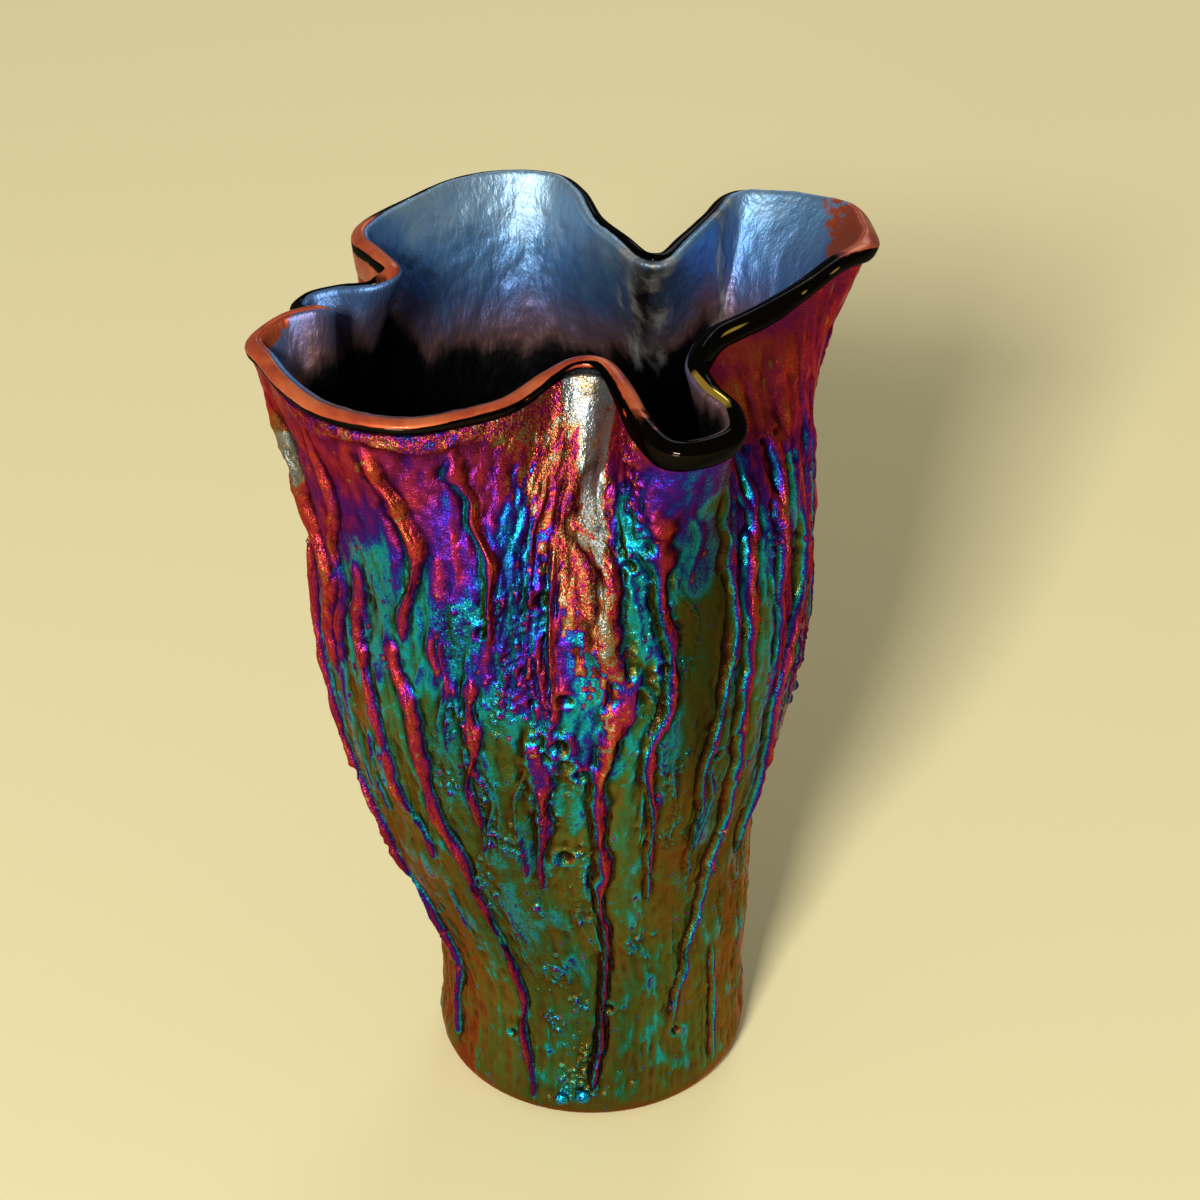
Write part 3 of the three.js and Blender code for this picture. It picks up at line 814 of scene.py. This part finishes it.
def plain_film(turn, height):
    bent_turn = turn + 0.022 * (fractal(turn, height, 16, 26.0, 131) - 0.5)
    bent_height = height + 34.0 * (fractal(turn, height, 12, 30.0, 141) - 0.5)
    levels, films = zip(*FILM_BY_LEVEL)
    film = np.interp(bent_height / HEIGHT, levels, films)
    clouds = 0.18 * fractal(turn, height, 8, 55.0, 101) - 0.28
    clouds = clouds + 0.18 * fractal(turn, height, 34, 80.0, 111)
    clouds = clouds + 0.20 * fractal(turn, height, 26, 14.0, 121)
    film = film + clouds * (0.45 + 0.55 * ease((height - 110.0) / 60.0))
    phase = np.radians(26.0 * angle_of(turn)) + 5.0 * fractal(turn, height, 10, 70.0, 151)
    stripes = 0.56 + 0.2 * np.sin(phase)
    film = film + 0.85 * zone(turn, height, -20, 170, 30, 95) * (stripes - film)
    for angle, level, wide, tall, thickness in FILM_ZONES:
        patch = ease(1.7 * zone(bent_turn, bent_height, angle, level, wide, tall))
        film = film + (thickness - film) * patch
    return film


def gold_of(turn, height):
    """Where the film turns to gold: the crest and the shoulder to its left."""
    side = crest_side(turn, height)
    uneven = 0.9 * (fractal(turn, height, 60, 20.0, 181) - 0.5)
    return hill(side + 0.9 + uneven, 2.1) * crest_reach(height, 138.0, 205.0)


def silver_of(turn, height):
    """Where it turns to silver: high on the crest, partly a painted highlight, and at the left end
    of the wide lobe.
    """
    uneven = 0.7 * (fractal(turn, height, 90, 14.0, 161) - 0.5)
    side = crest_side(turn, height)
    crest = ease(1.4 * hill(side + uneven, 0.8)) * crest_reach(height, 192.0, 232.0)
    patchy = 0.4 + 1.2 * fractal(turn, height, 60, 12.0, 251)
    return crest + ease(1.4 * zone(turn, height, -154, 222, 5, 13) * patchy)


FULL_FUME = 0.67  # past this the film thickens slowly, except where it turns to gold or silver


def film_at(turn, height, prominence, slope):
    """The film on a wall that bulges by prominence, in mm, and leans by slope."""
    climb = 0.56 - 0.26 * ease((height / HEIGHT - 0.58) / 0.3)
    film = plain_film(turn, height)
    film = film + climb * (1 - np.exp(-np.clip(prominence, 0, None) / 1.3))
    # painted light: the slope round the vase pushes one flank of each ridge redder and the other
    # bluer
    film = film + 0.05 * np.clip(prominence, -1.5, 0) - 0.24 * np.clip(slope, -1, 1)
    film = film - 0.7 * np.clip(film - FULL_FUME, 0, None)
    grains = fractal(turn, height, 260, 2.6, 191, 2) - 0.5
    golden = 0.79 + 0.06 * np.clip(prominence, -1, 1.5) + 0.35 * grains
    scattered = ease((gold_of(turn, height) + 1.3 * grains - 0.42) / 0.16)
    film = film + (golden - film) * scattered
    # silver, on the crest partly a painted highlight
    plated = ease((silver_of(turn, height) + 1.1 * grains - 0.35) / 0.25)
    return film + (0.97 - film) * plated


prominence = relief - blurred(relief, 9.0)
column_widths = 2 * np.pi * body_radius(grid_height) / COLUMNS
slope = (np.roll(relief, -1, axis=1) - np.roll(relief, 1, axis=1)) / (2 * column_widths)
film = film_at(*grid, prominence, blurred(slope, 0.7))
jewels = 0.50 + 0.34 * fractal(*grid, 200, 3.0, 171, 1)
film += fringe * (jewels - film)
# painted shade: the colour is darkened in the creases between ridges and lumps
hollow = 0.16 + 0.84 * ease((relief - blurred(relief, 3.0) + 0.7) / 0.9)
# painted shade on the right front, where the body turns away from the light
hollow *= 1 - 0.6 * zone(*grid, -54, 185, 16, 105)
# darker over the grit field and in a patch left of the crest
hollow *= (1 - 0.5 * grit_zone) * (1 - 0.7 * zone(*grid, -101, 200, 9, 32))
# broad painted light and dark, for the changing brightness of what the lustre mirrors
hollow *= 0.5 + fractal(*grid, 14, 45.0, 241)
silvered = silver_of(*grid)
speckle = 0.13 + 0.32 * gold_of(*grid) + 0.5 * crumbs
speckle += 0.25 * silvered + 0.3 * grit_zone + 0.5 * fringe
speckle += 0.12 * zone(*grid, -104, 120, 30, 70)
speckle *= 1 - 0.7 * silvered * ease((grid_height - 216.0) / 16.0)
print("film from %.2f to %.2f" % (film.min(), film.max()))


# %% [markdown]
# ## From grids to pieces
#
# A layer of the vase is a bag: the outside runs from the middle of the floor up to the rim, and the
# inside runs back down. Rows of points are joined with faces, the ends close at a middle point, and
# numbers for the shaders ride along with the points.

# %% Making a closed mesh from rows of points
CORNER_STEPS = 6
SEAM_STEPS = 24  # rows on each side of the plain seam between the gathers
SEAM_FOOT = 14.0
FLOOR_LEVEL = 2.0  # the fields of all the floor's rows are read here


def closed_piece(name, rows, fields, start=None, end=None, loop_rows=False):
    """Joins equal rows of points round and along into one closed mesh, in metres."""
    count = len(rows[0])
    points = np.concatenate(rows)
    values = {key: np.concatenate(parts) for key, parts in fields.items()}
    total = len(rows)
    last = total if loop_rows else total - 1
    row = np.arange(last)[:, None] * count
    following = ((np.arange(last)[:, None] + 1) % total) * count
    column = np.arange(count)[None, :]
    beside = (column + 1) % count
    quads = np.stack([row + column, row + beside, following + beside, following + column], axis=-1)
    faces = quads.reshape(-1, 4).tolist()
    caps = [] if start is None else [(start, 0, True), (end, total - 1, False)]
    for middle, ring, flip in caps:
        centre = len(points)
        points = np.vstack([points, middle])
        for key, value in values.items():
            values[key] = np.append(value, value[ring * count])
        here = ring * count + np.arange(count)
        there = ring * count + (np.arange(count) + 1) % count
        order = (there, here) if flip else (here, there)
        faces += [[centre, int(a), int(b)] for a, b in zip(*order)]
    mesh = bpy.data.meshes.new(name)
    mesh.from_pydata((points * MM).tolist(), [], faces)
    mesh.shade_smooth()
    for key, value in values.items():
        carried = mesh.attributes.new(key, "FLOAT", "POINT")
        carried.data.foreach_set("value", np.asarray(value, dtype=np.float32))
    piece = bpy.data.objects.new(name, mesh)
    bpy.context.scene.collection.objects.link(piece)
    print("%s: %d points, %d faces" % (name, len(points), len(faces)))
    return piece


def finished(piece, material, node):
    """Dresses a piece, hangs it on the root body and hides the frame node that it stands for."""
    piece.data.materials.append(material)
    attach(piece, "root")
    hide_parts(node)


def on_axis(z):
    return np.array([0.0, 0.0, z])


def fields_at(levels, **readings):
    """What each reading gives all round the wall at each of the levels."""
    return {
        key: [read(turns, np.full_like(turns, level)) for level in levels]
        for key, read in readings.items()
    }


def wall_row(height, outward):
    """A row of points round the wall, outward from its middle in mm."""
    out, _, _ = wall_frame(turns, height)
    return wall_middle(turns, height) + out * np.reshape(outward, (-1, 1))


def corner_rows(radius, floor, outward):
    """Level rows round the rounded corner between a floor and the wall, from the floor up."""
    rows = []
    for step in range(CORNER_STEPS):
        angle = step / CORNER_STEPS * math.pi / 2
        inset = radius * (1 - math.sin(angle))
        level = floor + radius * (1 - math.cos(angle))
        row = wall_row(level, outward)
        reach = np.hypot(row[:, 0], row[:, 1])[:, None]
        row = row * ((reach - inset) / reach)
        row[:, 2] = level
        rows.append(row)
    return rows


def top_row(turn, across, above):
    """A row of points at the rim, across the wall and above the middle of the lip, in mm."""
    out, up, _ = wall_frame(turn, HEIGHT)
    across = np.reshape(across, (-1, 1))
    above = np.reshape(above, (-1, 1))
    return wall_middle(turn, HEIGHT) + out * across + up * above


# %% [markdown]
# ## The bark skin
#
# The casing is the second gather. Its outside carries the relief and the lustre, and its inside is
# the plain seam where it meets the core.

# %% The skin's mesh
def map_of(field):
    return lambda turn, height: sample(field, turn, height)


def bark_skin():
    seam = SEAM + SEAM_GAP / 2
    outer_levels = heights[(heights > HEEL_RADIUS) & (heights < HEIGHT - LIP_DROP)]
    inner_levels = np.linspace(HEIGHT - LIP_DROP, SEAM_FOOT, SEAM_STEPS)
    rows = corner_rows(HEEL_RADIUS, 0.0, WALL / 2)
    for level in outer_levels:
        raised = sample(relief, turns, np.full_like(turns, level))
        rows.append(wall_row(level, WALL / 2 + raised))
    rows += [wall_row(level, seam) for level in inner_levels]
    rows += corner_rows(HEEL_RADIUS - 1, CASING_FLOOR, seam)[::-1]
    floor_levels = [FLOOR_LEVEL] * CORNER_STEPS
    levels = [*floor_levels, *outer_levels, *inner_levels, *floor_levels]
    fields = fields_at(levels, film=map_of(film), hollow=map_of(hollow), speckle=map_of(speckle))
    return closed_piece("bark_skin", rows, fields, on_axis(0.0), on_axis(CASING_FLOOR))


skin = bark_skin()

# %% [markdown]
# The lustre's colours are the series that a thin film shows as it thickens. One ramp holds the
# series, and every lustred piece reads it with its own film map, broken up a little by fine noise.
# The glass under the film is as good as black, so the film works like a coloured metal: it tints
# what it mirrors, and towards the outline it turns coral.

# %% The lustre's colour series
LUSTRE = [
    (0.00, (0.180, 0.055, 0.022)),
    (0.07, (0.150, 0.090, 0.020)),
    (0.15, (0.105, 0.104, 0.020)),
    (0.22, (0.062, 0.118, 0.024)),
    (0.29, (0.014, 0.190, 0.110)),
    (0.36, (0.004, 0.350, 0.450)),
    (0.43, (0.004, 0.080, 0.360)),
    (0.49, (0.020, 0.010, 0.270)),
    (0.56, (0.070, 0.007, 0.180)),
    (0.62, (0.160, 0.010, 0.105)),
    (0.69, (0.260, 0.016, 0.055)),
    (0.76, (0.360, 0.032, 0.020)),
    (0.83, (0.270, 0.092, 0.022)),
    (0.90, (0.200, 0.145, 0.062)),
    (1.00, (0.200, 0.235, 0.250)),
]


def lustre_finish(name):
    finish = Finish(name, Metallic=0.92, Specular_Tint=(0.95, 0.42, 0.34, 1.0))
    film_here = finish.attribute("film")
    speckled = finish.attribute("speckle")
    mottle = finish.noise(170.0, 4.0, (1.0, 1.0, 0.35))
    fine = finish.noise(1700.0, 2.0, (1.0, 1.0, 0.7))
    thickness = film_here + (mottle - 0.5) * 0.26 + (fine - 0.5) * speckled * 1.6
    colour = finish.ramp(thickness, LUSTRE)
    # painted shade: the lustre's colour is multiplied by the map of painted shade
    shaded = finish.mix(1.0, colour, finish.attribute("hollow"), "MULTIPLY")
    patch = finish.noise(300.0, 3.0)
    satin = film_here.above(0.8, 0.15) * 0.06
    roughness = 0.10 + patch * 0.28 + satin
    grain = finish.noise(1500.0, 2.0)
    pebble = finish.noise(420.0, 4.0, (1.0, 1.0, 0.6))
    height = grain * (speckled * 2.0 + 0.15) + pebble
    normal = finish.bump(height, 0.7)
    finish.drive(Base_Color=shaded, Roughness=roughness, Normal=normal)
    return finish.material


skin_finish = lustre_finish("bark_lustre")
finished(skin, skin_finish, "outer_casing")

# %% [markdown]
# ## The core
#
# Inside, the first gather shows a silver-blue lustre with the faint hammering of the paddle that
# shaped it. Its colour is painted bright near the rim, mauve further down and black below a line
# that follows the shadow of the front lobes across the inside: a painted shadow, over glass that is
# darker deeper in the well where the fume never reached. It runs up to the inner edge of the lip.

# %% The core's mesh
CORE_TOP = [(0.0, -0.6), (0.0, 0.4), (0.35, 1.1), (1.0, 1.5), (2.3, 1.4)]  # from the inner face, mm


def hammering(turn, height):
    """How far the paddle's marks stand out of the inner face, in mm."""
    strokes = fractal(turn, height, 70, 16.0, 201) - 0.5
    dimples = fractal(turn, height, 110, 5.0, 211, 2) - 0.5
    return strokes + 0.7 * dimples


# where the painted shadow line falls, over the darker glass of the well: angle of the wall and
# height; it is dark below
SMOKE_AND_SHADOW_LEVELS = [
    (-180, 224), (-168, 232), (-160, 224), (-150, 218), (-136, 240), (-110, 246), (-85, 250),
    (-60, 246), (-40, 236), (-20, 216), (0, 206), (20, 212), (36, 207), (52, 213), (66, 205),
    (90, 196), (110, 195), (128, 199), (138, 216), (150, 222), (180, 224),
]


def smoke(turn, height):
    """How far a point is above the painted shadow and the smoked well: 0 dark, 1 full silver-blue.
    """
    around, levels = np.array(SMOKE_AND_SHADOW_LEVELS, float).T
    return np.clip((height - np.interp(angle_of(turn), around, levels)) / 46.0, -0.4, 1.0)


def fold_silver_highlight(turn, height):
    """Rough silver-grey patches in the back folds, partly a painted highlight where the folds stand
    into the light.
    """
    folds = sector(turn, 68, 9.0) + 0.8 * sector(turn, 46, 7.0)
    streaks = fractal(turn, height, 150, 40.0, 231)
    return folds * ease((height - 192.0) / 30.0) * (0.3 + 1.2 * streaks)


def coral_inside(turn, height):
    """Where the coral of the lip runs on over the inner face."""
    tip = sector(turn, 8.0, 19.0) ** 0.5
    left_end = sector(turn, -159.0, 9.0) ** 0.5
    tip = tip * ease((height - (HEIGHT - 15.0 * tip)) / 6.0)
    return tip + left_end * ease((height - (HEIGHT - 5.0 * left_end)) / 3.0)


def lustred_core():
    seam = SEAM - SEAM_GAP / 2
    floor = CASING_FLOOR + SEAM_GAP
    well_floor = floor + CORE_FLOOR
    rows = corner_rows(HEEL_RADIUS - 1, floor, seam)
    for level in np.linspace(SEAM_FOOT, HEIGHT - LIP_DROP, SEAM_STEPS):
        rows.append(wall_row(level, seam))
    levels = [FLOOR_LEVEL] * len(rows)  # the seam is hidden, so it carries the floor's fields too
    frayed = 0.5 * (fractal(turns, 0, 150, 1.0, 221, 2) - 0.5)
    for across, above in CORE_TOP[::-1]:
        rows.append(top_row(turns, across - WALL / 2, above + (frayed if across > 0 else 0.0)))
        levels.append(HEIGHT + above)
    well_levels = heights[(heights > well_floor + WELL_RADIUS) & (heights < HEIGHT - LIP_DROP)]
    for level in well_levels[::-1]:
        fade = float(ease((HEIGHT - level) / 8.0))
        struck = hammering(turns, np.full_like(turns, level)) * fade
        rows.append(wall_row(level, -WALL / 2 - struck))
        levels.append(level)
    rows += corner_rows(WELL_RADIUS, well_floor, -WALL / 2)[::-1]
    levels += [FLOOR_LEVEL] * CORNER_STEPS
    fields = fields_at(levels, coral=coral_inside, smoke=smoke, silver=fold_silver_highlight)
    return closed_piece("lustred_core", rows, fields, on_axis(floor), on_axis(well_floor))


core = lustred_core()

# %% The silver-blue lustre, and the coral of the lip
CORAL = (0.38, 0.070, 0.022, 1.0)


def core_finish():
    finish = Finish("silver_blue_lustre", Metallic=0.8, Specular_Tint=(0.55, 0.7, 0.9, 1.0))
    brushed = finish.noise(170.0, 5.0, (1.0, 1.0, 0.25))
    cloud = finish.noise(45.0, 3.0)
    tone = finish.attribute("smoke") + (brushed - 0.5) * 0.30 + (cloud - 0.5) * 0.25
    # painted light and shadow: silver-blue above the painted shadow line, mauve at its edge, black
    # below
    colour = finish.ramp(tone, [
        (0.02, (0.003, 0.003, 0.003)),
        (0.10, (0.014, 0.009, 0.009)),
        (0.20, (0.170, 0.090, 0.085)),
        (0.34, (0.150, 0.120, 0.210)),
        (0.52, (0.080, 0.150, 0.330)),
        (0.78, (0.100, 0.220, 0.400)),
        (1.00, (0.230, 0.350, 0.460)),
    ])
    silver_highlight = finish.attribute("silver") + (brushed - 0.5) * 1.6
    scale = finish.ramp(brushed, [
        (0.36, (0.020, 0.013, 0.010)),
        (0.48, (0.150, 0.140, 0.130)),
        (0.62, (0.420, 0.420, 0.400)),
    ])
    # grey and white streaks in the back folds, partly a painted highlight
    colour = finish.mix(silver_highlight.above(0.35, 0.55), colour, scale)
    frayed = finish.noise(420.0, 4.0)
    coral = finish.attribute("coral") + (frayed - 0.5) * 1.4
    colour = finish.mix(coral.above(0.35, 0.3), colour, CORAL)
    roughness = 0.36 + brushed * 0.26
    grain = finish.noise(800.0, 3.0, (1.0, 1.0, 0.4))
    normal = finish.bump(grain, 0.6)
    finish.drive(Base_Color=colour, Roughness=roughness, Normal=normal)
    return finish.material


finished(core, core_finish(), "core_gather")

# %% [markdown]
# ## The lip
#
# The cut rim was held in the flame until it drew itself round. It is smooth black glass that sags
# over the outside, with a coral top on the front: partly a copper-coral lustre where the flame
# touched it, partly a painted reflection where the top faces the light.

# %% The lip's mesh
LIP_COLUMNS = 1100
LIP_TOP_POINTS = 9
LIP_TOP_RISE = 2.1
LIP_INNER = -WALL / 2 + 0.9
LIP_INNER_RISE = 1.1
# share of the skirt's depth, share of the overhang, coral and painted glint
SKIRT_SHAPE = [
    (0.2, 1.08, 0.4, 0.9), (0.5, 1.1, 1.0, 0.0), (0.8, 0.8, 1.0, 0.0), (1.0, 0.25, 0.8, 0.0),
]
# where the black edge carries painted yellow glints, outside and inside: angle and half its length
# in degrees
PAINTED_GLINTS = [(-77, 2.0), (-29, 7.5), (-13, 1.6), (-5, 3.2)]
INNER_PAINTED_GLINT = (-48, 9.0)


def fired_lip():
    """A round-topped lip that sags over the outside in a skirt."""
    along = np.arange(LIP_COLUMNS) / LIP_COLUMNS
    swelling = 1 + 0.35 * (fractal(along, 0, 40, 1.0, 301) - 0.5)
    sag = round_lip(along, SKIRT) * (0.75 + 0.5 * fractal(along, 0, 34, 1.0, 311))
    overhang = round_lip(along, OVERHANG) * swelling
    slim = round_lip(along, SLIM)
    inner = LIP_INNER + 1.3 * slim
    outer = WALL / 2 + 0.15
    top_coral = round_lip(along, CORAL_TOP)
    low_coral = round_lip(along, CORAL_SKIRT)
    painted_glint = sum(sector(along, angle, wide) for angle, wide in PAINTED_GLINTS)
    inner_painted_glint = sector(along, *INNER_PAINTED_GLINT)
    middle = (inner + outer) / 2
    reach = (outer - inner) / 2
    section = []
    for index in range(LIP_TOP_POINTS):
        share = index / (LIP_TOP_POINTS - 1)
        angle = math.pi * (1 - share)
        across = middle + reach * math.cos(angle) + overhang * ease(share)
        base = LIP_INNER_RISE * (1 - share)
        crown = (LIP_TOP_RISE - 0.5 * LIP_INNER_RISE) * (1 - 0.35 * slim)
        rise = base + crown * math.sin(angle) ** 0.8 * swelling
        coral = top_coral * float(1 - ease((share - 0.8) / 0.2))
        inner_edge = float(0.1 < share < 0.4)
        section.append((across, rise, coral, inner_painted_glint * inner_edge))
    for drop, bulge, coral, gleam in SKIRT_SHAPE:
        section.append((outer + bulge * overhang, -drop * sag, low_coral * coral, painted_glint * gleam))
    none = 0 * along
    underside = [(outer - 0.7, -sag), (outer - 1.0, -1.2), (inner + 1.0, -0.6), (inner + 0.4, 0.3)]
    section += [(across, above, none, none) for across, above in underside]
    rows = [top_row(along, across, above) for across, above, _, _ in section[::-1]]
    fields = {
        "coral": [part[2] for part in section[::-1]],
        "painted_glint": [part[3] for part in section[::-1]],
    }
    return closed_piece("fired_lip", rows, fields, loop_rows=True)


lip = fired_lip()


# %% The lip's finish
def lip_finish():
    finish = Finish(
        "fired_lip_lustre", Metallic=1.0, Specular_Tint=(0.10, 0.07, 0.04, 1.0),
        Coat_Weight=0.10, Coat_Roughness=0.03,
    )
    wander = finish.noise(220.0, 3.0)
    # coral: partly a copper-coral lustre, partly a painted reflection on the front of the lip
    coral = (finish.attribute("coral") + (wander - 0.5) * 0.6).above(0.42, 0.16)
    stain = finish.noise(90.0, 3.0)
    copper = finish.ramp(stain, [
        (0.35, (0.26, 0.035, 0.018)),
        (0.5, CORAL[:3]),
        (0.65, (0.46, 0.11, 0.038)),
    ])
    painted_glint = finish.attribute("painted_glint").above(0.5, 0.2)
    # painted highlight: the black edge turns yellow where the painted glints lie
    black = finish.mix(painted_glint, (0.005, 0.003, 0.001, 1.0), (0.95, 0.62, 0.10, 1.0))
    colour = finish.mix(coral, black, copper)
    roughness = 0.08 + coral * 0.3
    metallic = 1.0 - coral * 0.75
    finish.drive(Base_Color=colour, Roughness=roughness, Metallic=metallic)
    return finish.material


finished(lip, lip_finish(), "lip_wrap")

# %% [markdown]
# ## The trails
#
# Each trail is a thread of glass that sank into the skin while hot. It gets its own mesh: a thin
# cap on the ridge that it raised, as knotted and frayed as the ridge itself, with its edges diving
# into the skin so that no joint shows.

# %% The trails' meshes
TRAIL_ACROSS = 11
TRAIL_SPACING = 0.9
TRAIL_THICKNESS = 0.5


def bark_trail(name, width, taper, route, seed):
    top, bottom = ends_of(route)
    count = int((top - bottom) / TRAIL_SPACING)
    height = np.linspace(bottom, top, count)[:, None]
    share = np.linspace(-1, 1, TRAIL_ACROSS)[None, :]
    radius = body_radius(height)
    fray = 1 + 0.9 * (lattice_noise(0.3 * share, height, 3, 3.5, seed + 5) - 0.5)
    full = ease(np.minimum(height - bottom, top - height) / 14.0)
    half = 0.8 * half_width(height, width, taper, route, seed) * fray * (0.25 + 0.75 * full)
    sideways = share * half - sway_of(height, TRAIL_SWELL * width, seed)
    turn = turn_of(route_angle(route, height)) + sideways / (2 * np.pi * radius)
    height = np.broadcast_to(height, turn.shape)
    knobs = 0.6 + 0.8 * fractal(turn, height, 180, 3.0, seed + 7, 2)
    mound = TRAIL_THICKNESS * full * knobs * hill(share) ** 0.6
    raised = sample(relief, turn, height) + (mound - 0.12 * np.abs(share) ** 6 - 0.05)
    out, _, _ = wall_frame(turn, height)
    middle = wall_middle(turn, height)
    upper = middle + out * (WALL / 2 + raised)[..., None]
    lower = middle + out * (WALL / 2 - 0.8)
    fields = {
        "film": sample(film, turn, height) + 0.07 * full * hill(share),
        # the trails carry less painted shade than the creases round them
        "hollow": np.maximum(sample(hollow, turn, height), 0.75),
        "speckle": sample(speckle, turn, height) + 0.12,
    }
    rows = [np.vstack([over, under[::-1]]) for over, under in zip(upper, lower)]
    doubled = {
        key: [np.concatenate([row, row[::-1]]) for row in values]
        for key, values in fields.items()
    }
    return closed_piece(name, rows, doubled, rows[0].mean(axis=0), rows[-1].mean(axis=0))


trail_finish = lustre_finish("trail_lustre")
for order, (node, (width, _, taper, route)) in enumerate(TRAILS.items()):
    piece = bark_trail(node + "_trail", width, taper, route, trail_seed(order))
    finished(piece, trail_finish, node)

# %% [markdown]
# ## Drops and prunts
#
# A few drops of glass stand proud of the skin: two where lobes were pinched, and two glossy prunts
# by the foot. They are round blobs with a surface that wavers, pressed into the skin.

# %% The drops: angle, share of the height, radius in mm, and film
DROPS = {
    "lobe_drop_left": (-160.5, 0.955, 3.4, 0.50),
    "lobe_drop_right": (16, 0.965, 3.2, 0.52),
    "foot_prunt_left": (-101, 0.034, 2.0, 0.33),
    "foot_prunt_right": (-93, 0.038, 2.3, 0.35),
}


DROP_POINTS = 28
DROP_RINGS = 18
FLATTENED = 0.7  # how thick a drop is for its width


def glass_drop(name, angle, share, radius, thickness, seed):
    level = share * HEIGHT
    turn = float(turn_of(angle))
    out, up, round_it = wall_frame(turn, level)
    raised = float(sample(relief, turn, level))
    centre = wall_middle(turn, level) + out * (WALL / 2 + raised + 0.3 * radius)
    around = np.arange(DROP_POINTS) / DROP_POINTS
    rings = range(1, DROP_RINGS)
    rows = []
    for step in rings:
        tilt = math.pi * step / DROP_RINGS
        wavy = 1 + 0.5 * (fractal(around, step, 5, 4.0, seed, 2) - 0.5)
        ring = radius * math.sin(tilt) * wavy
        deep = -radius * math.cos(tilt)
        side = np.cos(2 * np.pi * around) * ring
        rise = np.sin(2 * np.pi * around) * ring
        rows.append(centre + np.outer(side, round_it) + np.outer(rise, up) + out * deep * FLATTENED)
    pole = out * radius * FLATTENED
    fields = {
        "film": [np.full(DROP_POINTS, thickness + 0.004 * step) for step in rings],
        "hollow": [np.ones(DROP_POINTS) for _ in rings],
        "speckle": [np.full(DROP_POINTS, 0.3) for _ in rings],
    }
    return closed_piece(name, rows, fields, centre - pole, centre + pole)


drop_finish = lustre_finish("drop_lustre")
for order, (node, (angle, share, radius, thickness)) in enumerate(DROPS.items()):
    piece = glass_drop(node + "_blob", angle, share, radius, thickness, 700 + order)
    finished(piece, drop_finish, node)

# %% [markdown]
# ## The table
#
# A plain cream sheet, large enough to fill the view from every side.

# %% The table
table_mesh = bpy.data.meshes.new("table")
EDGE = 6.0
table_corners = [(-EDGE, -EDGE, 0), (EDGE, -EDGE, 0), (EDGE, EDGE, 0), (-EDGE, EDGE, 0)]
table_mesh.from_pydata(table_corners, [], [(0, 1, 2, 3)])
table = bpy.data.objects.new("table", table_mesh)
table.location.z = -0.0004
bpy.context.scene.collection.objects.link(table)
cream = Finish("cream_table", Base_Color=(0.80, 0.71, 0.40, 1.0), Roughness=0.9)
table_mesh.materials.append(cream.material)
table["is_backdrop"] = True

# %% The sizes, and the end
visual_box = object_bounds()
sizes = {
    "cad_box": [list(corner) for corner in cad_box],
    "visual_box": [list(corner) for corner in visual_box],
}
print("frame box ", cad_box)
print("visual box", visual_box)
